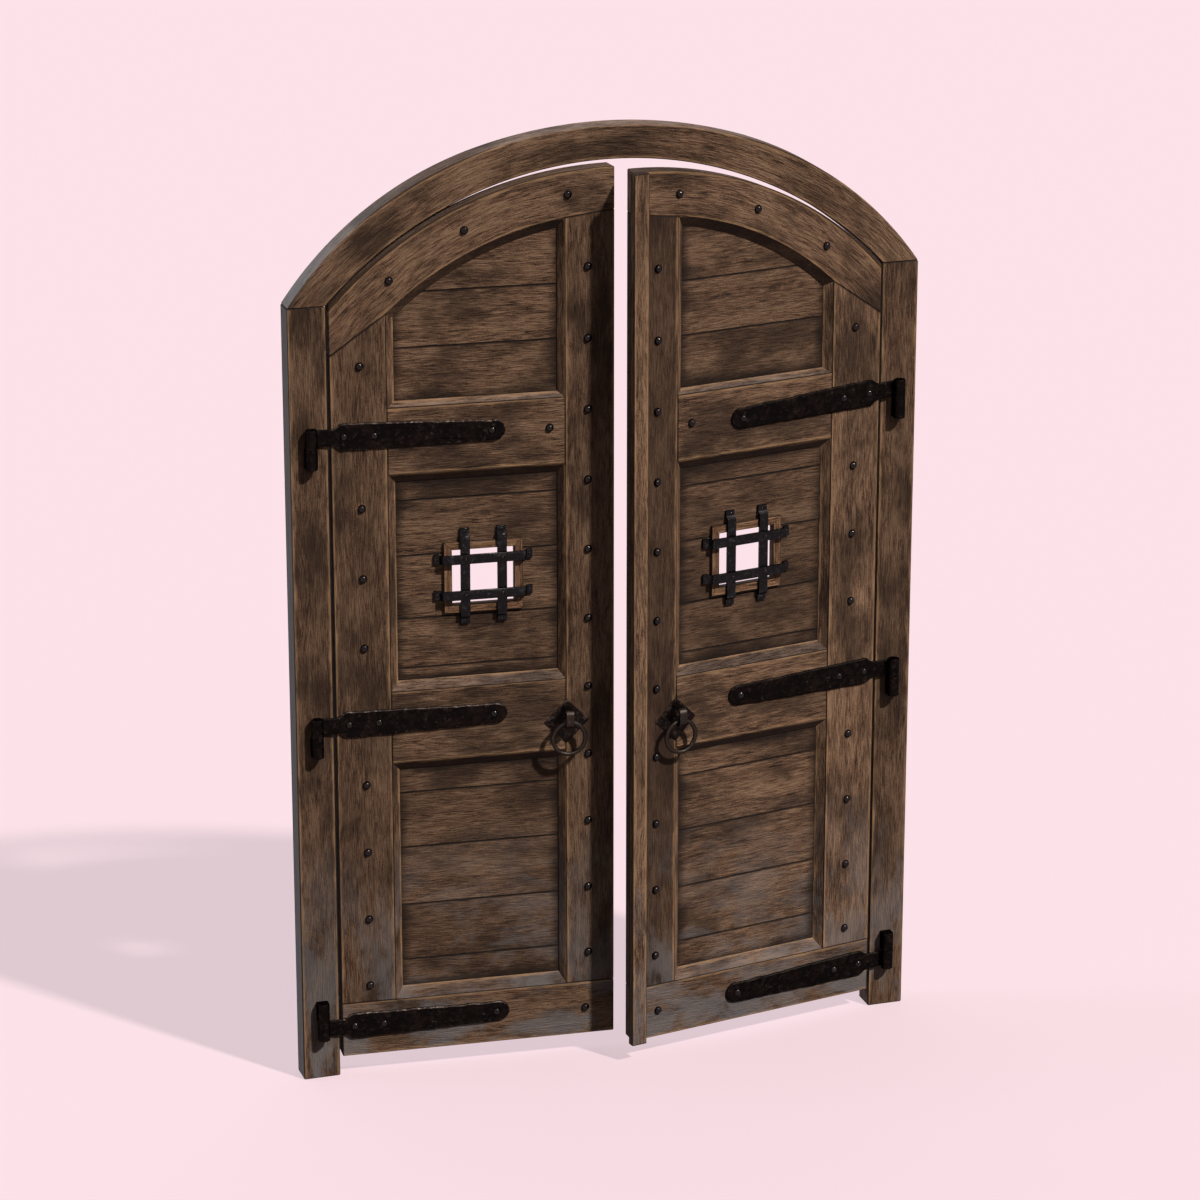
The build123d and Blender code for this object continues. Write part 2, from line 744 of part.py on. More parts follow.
def strap(leaf, place, droop):
    """A forged strap with its knuckle round the pin, waisted at the neck and round at the tip."""
    side = -leaf.side
    height = strap_heights[place]
    eye = Location((-side * leaf_reach, height, 0))
    plane = Plane(leaf.face(0).location * eye * Location((0, 0, 0), (0, 0, -side * droop)))
    shoulder = leaf_reach + strap_shoulder_across
    tip = leaf_reach + strap_reach
    tip_start = tip - strap_tip_half
    with BuildPart() as iron:
        with BuildSketch(plane):
            with BuildLine():
                Line((0, -strap_neck_half), (0, strap_neck_half))
                for sign in (-1, 1):
                    tip_corner = (side * tip_start, sign * strap_tip_half)
                    Line((0, sign * strap_neck_half), (side * leaf_reach, sign * strap_neck_half))
                    Bezier(
                        (side * leaf_reach, sign * strap_neck_half),
                        (side * (leaf_reach + shoulder) / 2, sign * strap_neck_half),
                        (side * (leaf_reach + shoulder) / 2, sign * strap_shoulder_half),
                        (side * shoulder, sign * strap_shoulder_half),
                    )
                    Line((side * shoulder, sign * strap_shoulder_half), tip_corner)
                ThreePointArc(
                    (side * tip_start, -strap_tip_half), (side * tip, 0), (side * tip_start, strap_tip_half)
                )
            make_face()
        extrude(amount=strap_thickness)
        chamfer(front_edges(iron), strap_rim)
        with BuildSketch(leaf.face(0)):
            with Locations((-side * leaf_reach / 2, height)):
                Rectangle(leaf_reach, 4 * strap_neck_half)
        extrude(amount=strap_relief, mode=Mode.SUBTRACT)
        pin_plane = leaf.face(-pintle_stand_off)
        with BuildSketch(pin_plane):
            with Locations((-side * leaf_reach + knuckle_radius / 2, height)):
                roll = Rectangle(knuckle_radius, knuckle_height)
            chamfer(roll.vertices().group_by(Axis.X)[-1], iron_chamfer)
        revolve(axis=Axis(pin_plane.from_local_coords((-side * leaf_reach, 0, 0)), (0, 0, 1)))
        with BuildSketch(leaf.plan(height - knuckle_height / 2)):
            with Locations((-side * leaf_reach, -pintle_stand_off)):
                Circle(pin_radius + pin_clearance)
        extrude(amount=knuckle_height, mode=Mode.SUBTRACT)
        with BuildSketch(leaf.face(0)):
            with Locations(*strap_rivet_points(leaf)):
                Circle(shank_radius + shank_clearance)
        extrude(amount=strap_thickness, mode=Mode.SUBTRACT)
    keep(iron.part, f"{leaf.name}_leaf_{place}_strap")


# Ring handle
def ring_handle(leaf):
    """Diamond plate, band staple and hanging ring."""
    with BuildPart() as plate:
        with BuildSketch(leaf.face(0)):
            with Locations(leaf.at(plate_across, plate_height)):
                Rectangle(plate_side, plate_side, rotation=45)
        extrude(amount=plate_thickness)
        chamfer(front_edges(plate), plate_chamfer)
        with BuildSketch(leaf.face(0)):
            with Locations(*staple_points(leaf)):
                Rectangle(staple_width + 2 * staple_clearance, staple_band + 2 * staple_clearance)
        extrude(amount=plate_thickness, mode=Mode.SUBTRACT)
    keep(plate.part, f"{leaf.name}_leaf_ring_plate")

    middle = (staple_foot_height + staple_head_height) / 2
    front = ring_stand_off + staple_bend + staple_band
    reach = front + staple_leg_depth
    with BuildPart() as staple:
        with BuildSketch(leaf.edge(plate_across)) as bend:
            with Locations((middle, front - reach / 2)):
                Rectangle(staple_head_height - staple_foot_height, reach)
            with Locations((middle, front - (reach + staple_band) / 2)):
                Rectangle(staple_clear_height, reach - staple_band, mode=Mode.SUBTRACT)
            fillet(bend.vertices().group_by(Axis.Y)[-1], staple_bend + staple_band)
            fillet(bend.vertices().group_by(Axis.Y)[-2], staple_bend)
        extrude(amount=staple_width / 2, both=True)
        cheeks = staple.faces().filter_by(leaf.edge(plate_across))
        fillet(cheeks.edges(), staple_round)
    keep(staple.part, f"{leaf.name}_leaf_ring_staple")

    with BuildPart(leaf.face(-ring_stand_off)) as ring:
        with Locations(leaf.at(plate_across, ring_axis_height - ring_radius)):
            Torus(ring_radius, ring_wire_radius)
    keep(ring.part, f"{leaf.name}_ring")


def cover_strip(leaf):
    """The strip on the meeting edge that laps over the other leaf when both are shut."""
    side = -leaf.side
    inner = leaf_width - strip_seat
    outer = leaf_width + strip_overhang
    height = arc_height(leaf_width, leaf_radius, inner_centre) - floor_gap + strip_drop
    with BuildPart() as strip:
        with BuildSketch(leaf.plan(floor_gap - strip_drop)):
            with BuildLine():
                Polyline(
                    (side * inner, 0),
                    (side * leaf_width, 0),
                    (side * leaf_width, -strip_rebate),
                    (side * outer, -strip_rebate),
                    (side * outer, -strip_thickness),
                    (side * inner, -strip_thickness),
                    close=True,
                )
            make_face()
        extrude(amount=height)
        chamfer(strip.edges().filter_by(Axis.Z).group_by(Axis.Y)[0], arris)
    keep(strip.part, f"{leaf.name}_leaf_cover_strip")


for leaf in leaves:
    hinge_corners = [
        (0, bottom_rail_top),
        (hinge_stile_width, bottom_rail_top),
        (hinge_stile_width, heel),
        (0, heel - heel_fall),
    ]
    meeting_corners = [
        (opening_far, bottom_rail_top),
        (leaf_width, bottom_rail_top),
        (leaf_width, toe + toe_rise),
        (opening_far, toe),
    ]
    stile(leaf, "hinge_stile", hinge_corners, False)
    stile(leaf, "meeting_stile", meeting_corners, True)
    rail(leaf, "bottom_rail", 0, leaf_width, floor_gap, bottom_rail_top)
    rail(leaf, "lock_rail", hinge_stile_width, opening_far, lock_rail_foot, lock_rail_top)
    rail(leaf, "upper_rail", hinge_stile_width, opening_far, upper_rail_foot, upper_rail_top)
    arched_rail(leaf)
    for panel in panels:
        boards(leaf, panel)
        mouldings(leaf, panel)
    window_trim(leaf)
    grille_bars(leaf, "grille_uprights", True, trim_thickness)
    grille_bars(leaf, "grille_crossbars", False, trim_thickness + bar_thickness)
    grille_rivets(leaf)
    studs(leaf)
    for place, droop in zip(strap_heights, leaf.strap_droops):
        strap(leaf, place, droop)
    strap_rivets(leaf)
    ring_handle(leaf)
cover_strip(leaves[1])
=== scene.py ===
"""Looks of an arched double door of old oak with forged ironwork, in its oak frame."""

import json
import logging
import math
import random
from collections.abc import Callable, Sequence
from dataclasses import dataclass, field, replace
from enum import Enum

import bmesh
import bpy
from mathutils import Matrix, Vector, noise


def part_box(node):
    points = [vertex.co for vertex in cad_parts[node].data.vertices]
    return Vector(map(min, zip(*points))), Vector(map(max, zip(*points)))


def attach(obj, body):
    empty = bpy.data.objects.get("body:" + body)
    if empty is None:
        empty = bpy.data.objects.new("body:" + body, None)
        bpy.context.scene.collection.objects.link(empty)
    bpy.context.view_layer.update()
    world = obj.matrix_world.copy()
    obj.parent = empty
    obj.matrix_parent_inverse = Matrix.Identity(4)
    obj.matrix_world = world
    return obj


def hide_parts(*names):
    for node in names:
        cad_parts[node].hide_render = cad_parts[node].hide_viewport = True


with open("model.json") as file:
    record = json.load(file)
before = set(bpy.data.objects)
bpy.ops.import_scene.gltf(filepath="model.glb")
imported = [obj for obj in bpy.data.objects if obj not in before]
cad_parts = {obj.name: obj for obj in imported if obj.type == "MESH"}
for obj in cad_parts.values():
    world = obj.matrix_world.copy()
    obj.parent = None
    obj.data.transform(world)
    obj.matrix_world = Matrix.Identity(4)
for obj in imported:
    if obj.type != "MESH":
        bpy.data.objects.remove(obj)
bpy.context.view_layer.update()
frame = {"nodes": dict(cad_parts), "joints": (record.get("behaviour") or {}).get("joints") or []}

LOG = logging.getLogger("castle_door")

# The output of a Mix node that holds the mixed colour.
MIXED_COLOUR = 2

Mesh = bmesh.types.BMesh
Tree = bpy.types.NodeTree
Node = bpy.types.Node
Output = bpy.types.NodeSocket
# (across, height) in metres.
Point = tuple[float, float]
Outline = list[Point]

# On which side of the door's middle each leaf hangs.
SIDES = {"left": -1, "right": 1}

# How near points are welded and faces count as lying at a depth, in metres.
WELD = 1e-5
SAME_DEPTH = 2e-4
# How far inside an outline's ends it is measured, in metres and in radians.
INSIDE = 2e-5
INSIDE_ANGLE = 1e-5
# Less turn than this, in degrees, joins two faces into one.
FLAT_TURN = 0.4
# Less bend than this, as the sine of the turn, makes an outline's corner no corner.
LEAST_BEND = 2e-3
# Tolerance for telling which end or edge of a timber a point belongs to, in metres.
SLACK = 0.001
# A distance that no grime or wear reaches, in metres, and half the length of an arched timber,
# whose ends count as joints of their own.
FAR = 9.0
ENDLESS = 10.0


class Grain(Enum):
    """Which way the fibres of a timber run."""

    UPRIGHT = "upright"
    LEVEL = "level"
    ARCHED = "arched"


class Wear(Enum):
    """Which long edges of a timber are rubbed pale."""

    BOTH = "both"
    INNER = "inner"


def linear(colour: str) -> tuple[float, float, float, float]:
    """Turn an sRGB hex colour into linear light.

    Args:
        colour: A colour such as "#7a5f49".

    Returns:
        Red, green, blue and alpha as Blender's sockets take them.
    """
    parts = [int(colour[i : i + 2], 16) / 255 for i in (1, 3, 5)]
    return (*[p / 12.92 if p <= 0.04045 else ((p + 0.055) / 1.055) ** 2.4 for p in parts], 1.0)


def add(tree: Tree, kind: str, inputs: dict | tuple = (), **settings: object) -> Node:
    """Add one node with its settings and links.

    Args:
        tree: The node tree that gets the node.
        kind: Blender's name for the node, without "ShaderNode".
        inputs: For the first inputs in order, or for each named or numbered one, a value, or the
            node or output that feeds it. A node that mixes colours feeds its colour, any other
            its first output.
        settings: The node's own properties.

    Returns:
        The new node.
    """
    made = tree.nodes.new(f"ShaderNode{kind}")
    for name, value in settings.items():
        setattr(made, name, value)
    for key, value in inputs.items() if isinstance(inputs, dict) else enumerate(inputs):
        if isinstance(value, Node):
            value = value.outputs[MIXED_COLOUR if value.bl_idname == "ShaderNodeMix" else 0]
        if isinstance(value, Output):
            tree.links.new(value, made.inputs[key])
        else:
            # Arrises rubbed until the grey iron shows, and painted paler as a highlight along them.
            made.inputs[key].default_value = value
    return made


def put(name: str, data: bpy.types.ID) -> bpy.types.Object:
    """Put a new object into the scene.

    Args:
        name: The object's name.
        data: Its mesh, lamp or camera.

    Returns:
        The object.
    """
    thing = bpy.data.objects.new(name, data)
    bpy.context.scene.collection.objects.link(thing)
    return thing


def new_material(name: str) -> tuple[bpy.types.Material, Tree]:
    """Make an empty node material.

    Args:
        name: The material's name.

    Returns:
        The material and its node tree.
    """
    material = bpy.data.materials.new(name)
    material.use_nodes = True
    material.node_tree.nodes.clear()
    return material, material.node_tree


@dataclass(frozen=True)
class Span:
    """Where a mark begins and where it is full, on a noise or on a distance in metres."""

    start: float
    end: float

    def of(self, measure: object, low: float = 0.0, high: float = 1.0) -> dict[str, object]:
        """Inputs that turn this span of a measure into an amount.

        Args:
            measure: The node or output that is measured.
            low: The amount at the start.
            high: The amount at the end.

        Returns:
            The inputs by name.
        """
        ends = {"From Min": self.start, "From Max": self.end, "To Min": low, "To Max": high}
        return {"Value": measure, **ends}


@dataclass(frozen=True)
class Marks:
    """One kind of mark in the oak: its length and width in mm, and its share in the tone."""

    length: float
    width: float
    share: float
    detail: float
    roughness: float

    def per_metre(self) -> tuple[float, float, float]:
        """How many marks fit in a metre: along the fibres, across them and through the timber."""
        return 1000 / self.length, 1000 / self.width, 1000 / self.width


# Growth bands, streaks, bundles of fibres, and pores. Real pores are 0.3 mm wide: they are
# drawn eight times as coarse, to show.
GRAIN_MARKS = (
    Marks(length=280, width=70, share=0.2, detail=3, roughness=0.6),
    Marks(length=100, width=12, share=0.26, detail=4, roughness=0.65),
    Marks(length=43, width=3.5, share=0.38, detail=2, roughness=0.6),
    Marks(length=5, width=2.5, share=0.16, detail=1, roughness=0.5),
)
# Fibres wander by up to 10 mm over a third of a metre.
WANDERS_PER_METRE = (3.0, 12.0, 12.0)
WANDER = (0.0, 0.03, 0.03)
# Moves the pattern by whole marks from one timber to the next.
SEED_STEP = (13.7, 7.3, 3.1)
# Smoke and oil stains, 280 mm long and 150 mm wide.
STAINS_PER_METRE = (3.6, 6.8, 6.8)

# On the tone of the grain, which lies around 0.5.
BODY_TONE = Span(0.39, 0.5)
LIGHT_TONE = Span(0.49, 0.6)
DUSTY_TONE = Span(0.42, 0.56)
LIME_TONE = Span(0.4, 0.55)
ROUGH_TONE = Span(0.35, 0.62)
# On the noise of the stains and of the bleached patches.
STAINED = Span(0.43, 0.65)
PATCHED = Span(0.42, 0.6)
# On a timber's own darkness.
SHADED = Span(0.0, 1.0)
# On the upward or sideways part of the direction that a face looks in.
DUST_SLOPE = Span(0.25, 0.7)
# Painted shade on faces that look downwards.
PAINTED_SHADE_SLOPE = Span(-0.2, -0.55)
LIME_SLOPE = Span(0.3, 0.85)
# On distances in metres: to a joint at a timber's end, down a timber's side from its face (where the joint
# line gives way to painted shade), to a panel's rim.
END_LINE = Span(0.005, 0.001)
SIDE_SHADE_DEPTH = Span(0.004, 0.009)
RIM_BAND = Span(0.012, -0.03)

# What each timber stores on its points, in metres, and the names of the three parts: where the
# point lies from its timber's middle, half the timber's size, where the point lies from its
# panel's middle, and half the panel's size with the distance to a sloping joint.
MEASURES = {
    "grain": ("along", "across", "through"),
    "size": ("half_length", "half_width", "half_depth"),
    "place": ("panel_x", "panel_z", "seed"),
    "reach": ("panel_half_x", "panel_half_z", "slope"),
}


def read_measures(tree: Tree) -> dict[str, Output]:
    """Read what a timber stores on its points.

    Args:
        tree: The node tree of its material.

    Returns:
        The outputs that give each measure, by the names in MEASURES.
    """
    at = {}
    for attribute, names in MEASURES.items():
        at[attribute] = add(tree, "Attribute", attribute_name=attribute).outputs["Vector"]
        at.update(zip(names, add(tree, "SeparateXYZ", (at[attribute],)).outputs))
    return at


@dataclass(frozen=True)
class OakFinish:
    """Old oak, sawn and hand planed, oiled and smoked nearly black, then rubbed and weathered.

    To the eye that is a dull brown with dark and light streaks along the fibres, black stains,
    pale tan where hands and weather took the oil off the arrises, and grime in the joints. Painted
    shade darkens what looks downwards and the timbers' sides.
    Widths are in mm, heights in metres. The relief, in metres, stands for the whole range of the
    grain's tone, of which the wood has about a fifth: deeper than real fibres, to show.
    """

    name: str
    dark: str = "#221812"
    body: str = "#684f3e"
    light: str = "#8a705b"
    stain_and_shade: str = "#1a130f"
    worn: str = "#9a7a5c"
    # Grime in the joints, and painted shade down the timbers' sides.
    grime_and_side_shade: str = "#0e0a08"
    silver: str = "#6a6769"
    wear: Wear = Wear.BOTH
    wear_width: float = 12.0
    wear_amount: float = 0.7
    wear_ragged: float = 30.0
    wear_fade: float = 2.0
    seam_width: float = 1.2
    seam_fade: float = 1.2
    seam_amount: float = 0.85
    # How strong the painted shade down a timber's sides is, as a share of the joint line.
    painted_side_shade: float = 0.45
    rim_ragged: float = 50.0
    rim_amount: float = 0.8
    stain_amount: float = 0.72
    shade_amount: float = 0.7
    # How dark the painted shade on what looks downwards is.
    painted_shade_amount: float = 0.7
    silver_amount: float = 0.8
    silver_height: float = 0.8
    dust_amount: float = 0.3
    side_silver: float = 0.0
    least_lime: float = 0.55
    roughness: tuple[float, float] = (0.72, 0.9)
    ior: float = 1.45
    specular: float = 0.15
    relief: float = 0.008

    def build(self) -> bpy.types.Material:
        """Make the material.

        Returns:
            A material that reads the measures stored on each timber.
        """
        material, tree = new_material(self.name)
        at = read_measures(tree)
        bent = self.bent_grain(tree, at)
        streaks, tone = self.streaks(tree, bent)
        spread = add(tree, "VectorMath", (bent, STAINS_PER_METRE), operation="MULTIPLY")
        blot = add(tree, "TexNoise", {"Vector": spread, "Scale": 1.0, "Detail": 7.0, "Roughness": 0.6})
        stained = STAINED.of(blot, high=self.stain_amount)
        own_shade = add(tree, "Attribute", attribute_name="shade").outputs["Fac"]
        facing = add(tree, "SeparateXYZ", (add(tree, "NewGeometry").outputs["True Normal"],)).outputs
        gaps = self.distances(tree, at)
        # From the bare oak outwards. No two timbers are equally dark, and what slopes downwards
        # gets painted shade in the colour of the stains.
        layers = (
            (self.body, add(tree, "MapRange", BODY_TONE.of(tone))),
            (self.light, add(tree, "MapRange", LIGHT_TONE.of(tone))),
            (self.stain_and_shade, add(tree, "MapRange", stained, interpolation_type="SMOOTHSTEP")),
            (self.dark, add(tree, "MapRange", SHADED.of(own_shade, high=self.shade_amount))),
            (self.silver, self.bleach(tree, tone, spread, facing)),
            # Painted shade on faces that look downwards, in the colour of the stains.
            (self.stain_and_shade, add(tree, "MapRange", PAINTED_SHADE_SLOPE.of(facing[2], high=self.painted_shade_amount))),
            (self.worn, self.rubbing(tree, gaps, streaks)),
            (self.grime_and_side_shade, self.joint_grime_and_side_shade(tree, gaps, blot, at["slope"])),
        )
        colour = linear(self.dark)
        for paint, amount in layers:
            colour = add(tree, "Mix", {0: amount, 6: colour, 7: linear(paint)}, data_type="RGBA")
        shader_inputs = {
            "Base Color": colour,
            "Roughness": add(tree, "MapRange", ROUGH_TONE.of(tone, *self.roughness)),
            "Normal": add(tree, "Bump", {"Height": tone, "Strength": 0.9, "Distance": self.relief}),
            "IOR": self.ior,
            "Specular IOR Level": self.specular,
            "Metallic": 0.0,
        }
        shader = add(tree, "BsdfPrincipled", shader_inputs)
        add(tree, "OutputMaterial", (shader,))
        return material

    def bent_grain(self, tree: Tree, at: dict[str, Output]) -> Node:
        """Bend the fibres, each timber as a tree of its own.

        Args:
            tree: The material's node tree.
            at: What the timber stores.

        Returns:
            The point's place in the wood.
        """
        seed = add(tree, "CombineXYZ", (at["seed"], at["seed"], at["seed"]))
        moved_inputs = (seed, SEED_STEP, at["grain"])
        moved = add(tree, "VectorMath", moved_inputs, operation="MULTIPLY_ADD")
        slow = add(tree, "VectorMath", (moved, WANDERS_PER_METRE), operation="MULTIPLY")
        wander = add(tree, "TexNoise", {"Vector": slow, "Scale": 1.0, "Detail": 2.0})
        half = (0.5, 0.5, 0.5)
        shift = add(tree, "VectorMath", (wander.outputs["Color"], half), operation="SUBTRACT")
        return add(tree, "VectorMath", (shift, WANDER, moved), operation="MULTIPLY_ADD")

    def streaks(self, tree: Tree, bent: Node) -> tuple[Node, Node]:
        """Draw the grain.

        Args:
            tree: The material's node tree.
            bent: The point's place in the wood.

        Returns:
            The noise of the streaks alone, and the tone of all marks together.
        """
        noises = []
        tone = 0.0
        for marks in GRAIN_MARKS:
            scaled = add(tree, "VectorMath", (bent, marks.per_metre()), operation="MULTIPLY")
            look = {"Scale": 1.0, "Detail": marks.detail, "Roughness": marks.roughness}
            noises.append(add(tree, "TexNoise", {"Vector": scaled, **look}))
            tone = add(tree, "Math", (noises[-1], marks.share, tone), operation="MULTIPLY_ADD")
        return noises[1], tone

    def bleach(self, tree: Tree, tone: Node, spread: Node, facing: Sequence[Output]) -> Node:
        """Bleach the oak with rain near the ground, dust on slopes and lime from the wall.

        Args:
            tree: The material's node tree.
            tone: The tone of the grain.
            spread: The place in the wood, scaled for stains.
            facing: The three parts of the direction that the face looks in.

        Returns:
            How grey the oak is.
        """
        height = add(tree, "SeparateXYZ", (add(tree, "TexCoord").outputs["Object"],)).outputs[2]
        low = add(tree, "MapRange", Span(self.silver_height, 0.0).of(height))
        look = {"Scale": 1.1, "Detail": 6.0, "Roughness": 0.7, "Distortion": 0.4}
        patch = add(tree, "TexNoise", {"Vector": spread, **look})
        patch_inputs = PATCHED.of(patch, high=self.silver_amount)
        patched = add(tree, "MapRange", patch_inputs, interpolation_type="SMOOTHSTEP")
        dust = add(tree, "MapRange", DUST_SLOPE.of(facing[2], high=self.dust_amount))
        pairs = [(low, patched), (dust, add(tree, "MapRange", DUSTY_TONE.of(tone)))]
        if self.side_silver:
            sideways = add(tree, "Math", (facing[0],), operation="ABSOLUTE")
            lime = add(tree, "MapRange", LIME_SLOPE.of(sideways, high=self.side_silver))
            pairs.append((lime, add(tree, "MapRange", LIME_TONE.of(tone, low=self.least_lime))))
        most = 0.0
        for pair in pairs:
            grey = add(tree, "Math", pair, operation="MULTIPLY")
            most = add(tree, "Math", (grey, most), operation="MAXIMUM")
        return most

    def distances(self, tree: Tree, at: dict[str, Output]) -> dict[str, Node]:
        """Measure the distances to a timber's arrises and ends, and to the rim of its panel.

        Args:
            tree: The material's node tree.
            at: What the timber stores.

        Returns:
            The distances by name.
        """
        halves = {
            "side": ("half_width", "across"),
            "face": ("half_depth", "through"),
            "end": ("half_length", "along"),
            "rim_x": ("panel_half_x", "panel_x"),
            "rim_z": ("panel_half_z", "panel_z"),
        }
        gaps = {}
        for name, (half, place) in halves.items():
            out = at[place]
            if name != "side" or self.wear is Wear.BOTH:
                out = add(tree, "Math", (out,), operation="ABSOLUTE")
            gaps[name] = add(tree, "Math", (at[half], out), operation="SUBTRACT")
        gaps["seam"] = gaps["side"]
        if self.wear is Wear.INNER:
            gaps["seam"] = add(tree, "Math", (at["half_width"], at["across"]), operation="ADD")
        return gaps

    def rubbing(self, tree: Tree, gaps: dict[str, Node], streaks: Node) -> Node:
        """Rub the long arrises pale in a ragged band.

        Args:
            tree: The material's node tree.
            gaps: The distances from arrises and ends.
            streaks: The noise that makes the band ragged, around 0.5.

        Returns:
            How pale the oak is rubbed.
        """
        edge = gaps["side"]
        if self.wear is Wear.BOTH:
            edge = add(tree, "Math", (gaps["side"], gaps["face"]), operation="MAXIMUM")
        ragged_inputs = (streaks, -self.wear_ragged / 1000, edge)
        ragged = add(tree, "Math", ragged_inputs, operation="MULTIPLY_ADD")
        middle = self.wear_ragged / 2
        band = Span((self.wear_width - middle) / 1000, (-self.wear_fade - middle) / 1000)
        rub_inputs = band.of(ragged, high=self.wear_amount)
        return add(tree, "MapRange", rub_inputs, interpolation_type="SMOOTHSTEP")

    def joint_grime_and_side_shade(self, tree: Tree, gaps: dict[str, Node], blot: Node, slope: Output) -> Node:
        """Grime where timbers meet, painted shade down their sides, a soft dark band round sunk boards.

        Args:
            tree: The material's node tree.
            gaps: The distances from arrises, ends and rim.
            blot: The noise that makes the soft band ragged.
            slope: The distance from a sloping joint.

        Returns:
            How much grime and painted shade darken the oak.
        """
        joint = add(tree, "Math", (gaps["end"], slope), operation="MINIMUM")
        line = add(tree, "MapRange", END_LINE.of(joint, high=self.seam_amount))
        seam_line = Span((self.seam_width + self.seam_fade) / 1000, self.seam_width / 1000)
        seam = add(tree, "MapRange", seam_line.of(gaps["seam"], high=self.seam_amount))
        # The line lies on the face; deeper in the joint, down the timber's sides, only a weaker painted
        # shade.
        film = add(tree, "MapRange", SIDE_SHADE_DEPTH.of(gaps["face"], low=1.0, high=self.painted_side_shade))
        seam = add(tree, "Math", (seam, film), operation="MULTIPLY")
        line = add(tree, "Math", (line, seam), operation="MAXIMUM")
        rim = add(tree, "Math", (gaps["rim_x"], gaps["rim_z"]), operation="MINIMUM")
        ragged_inputs = (blot, -self.rim_ragged / 1000, rim)
        ragged = add(tree, "Math", ragged_inputs, operation="MULTIPLY_ADD")
        soft_inputs = RIM_BAND.of(ragged, high=self.rim_amount)
        soft = add(tree, "MapRange", soft_inputs, interpolation_type="SMOOTHSTEP")
        return add(tree, "Math", (line, soft), operation="MAXIMUM")


# On the noises of the rust and of the pits.
RUSTED = Span(0.46, 0.66)
PITTED = Span(0.35, 0.65)
# Hammer marks are 14 mm across, and rust blooms 36 mm. Scale pits are under a millimetre across:
# they are drawn 3 mm across, to show.
HAMMER_MARKS_PER_METRE = 70.0
RUST_BLOOMS_PER_METRE = 28.0
PITS_PER_METRE = 330.0


@dataclass(frozen=True)
class IronFinish:
    """Forged iron, hammered hot, blackened by its own scale and a wax film.

    To the eye that is near black with shallow hammer marks 14 mm wide, fine pits, a brown tinge
    of rust, grey flecks of scale on the crests that also stand as painted glints of the hammered
    facets, and small sharp lights from the wax. Depths are in metres, and drawn deeper than a
    smith leaves them, to show.
    """

    name: str
    black: str = "#0a0807"
    rust: str = "#19130f"
    scale: str = "#38322e"
    flecks_and_glints_from: float = 0.58
    flecks_and_glints_fade: float = 0.1
    crest_shares: tuple[float, float] = (0.45, 0.55)
    edge_tint: str = "#6a605a"
    roughness: tuple[float, float] = (0.4, 0.66)
    wax: float = 0.06
    wax_roughness: float = 0.34
    hammer: float = 0.008
    pit_depth: float = 0.0012

    def build(self) -> bpy.types.Material:
        """Make the material.

        Returns:
            A material that reads only the piece's own coordinates.
        """
        material, tree = new_material(self.name)
        at = add(tree, "TexCoord").outputs["Object"]
        looks = (
            (HAMMER_MARKS_PER_METRE, 1.5, 0.5),
            (PITS_PER_METRE, 3.0, 0.65),
            (RUST_BLOOMS_PER_METRE, 5.0, 0.7),
        )
        marks, pits, bloom = (
            add(tree, "TexNoise", {"Vector": at, "Scale": scale, "Detail": detail, "Roughness": rough})
            for scale, detail, rough in looks
        )
        crest = 0.0
        for one, share in zip((marks, pits), self.crest_shares):
            crest = add(tree, "Math", (one, share, crest), operation="MULTIPLY_ADD")
        # Grey scale on the crests, also painted as the glints of hammered facets.
        flecks = Span(self.flecks_and_glints_from, self.flecks_and_glints_from + self.flecks_and_glints_fade)
        layers = (
            (self.rust, add(tree, "MapRange", RUSTED.of(bloom))),
            (self.scale, add(tree, "MapRange", flecks.of(crest))),
        )
        colour = linear(self.black)
        for paint, amount in layers:
            colour = add(tree, "Mix", {0: amount, 6: colour, 7: linear(paint)}, data_type="RGBA")
        fine = add(tree, "Bump", {"Height": pits, "Strength": 0.5, "Distance": self.pit_depth})
        dent_inputs = {"Height": marks, "Strength": 0.8, "Distance": self.hammer, "Normal": fine}
        shader_inputs = {
            "Base Color": colour,
            "Roughness": add(tree, "MapRange", PITTED.of(pits, *self.roughness)),
            "Normal": add(tree, "Bump", dent_inputs),
            "Metallic": 1.0,
            "Specular Tint": linear(self.edge_tint),
            "Coat Weight": self.wax,
            "Coat Roughness": self.wax_roughness,
        }
        shader = add(tree, "BsdfPrincipled", shader_inputs)
        add(tree, "OutputMaterial", (shader,))
        return material


def looking_rays(tree: Tree) -> Node:
    """Tell rays that look, straight or by way of a shine or glass, from those that only light.

    Args:
        tree: The node tree of the floor or the world.

    Returns:
        1 for a ray that looks, and 0 for one that lights.
    """
    rays = add(tree, "LightPath").outputs
    eye = (rays["Is Camera Ray"], rays["Is Glossy Ray"])
    either = add(tree, "Math", eye, operation="MAXIMUM")
    return add(tree, "Math", (either, rays["Is Transmission Ray"]), operation="MAXIMUM")


@dataclass(frozen=True)
class StudioFinish:
    """Matt painted studio floor: one pale even colour, so the part alone draws the eye."""

    name: str = "matt_floor_paint"
    colour: str = "#e2ccd3"
    bounce: str = "#514c4d"
    glow: float = 0.7
    glow_strength: float = 1.15

    def build(self) -> bpy.types.Material:
        """Make the material: pale to the eye and in reflections, but with little light thrown back.

        Returns:
            A material that keeps the part's shadow, lightened by a faint glow.
        """
        material, tree = new_material(self.name)
        paint = add(tree, "BsdfDiffuse", {"Color": linear(self.colour)})
        glow = add(tree, "Emission", {"Color": linear(self.colour), "Strength": self.glow_strength})
        pale = add(tree, "MixShader", (self.glow, paint, glow))
        dull = add(tree, "BsdfDiffuse", {"Color": linear(self.bounce)})
        shader = add(tree, "MixShader", (looking_rays(tree), dull, pale))
        add(tree, "OutputMaterial", (shader,))
        return material


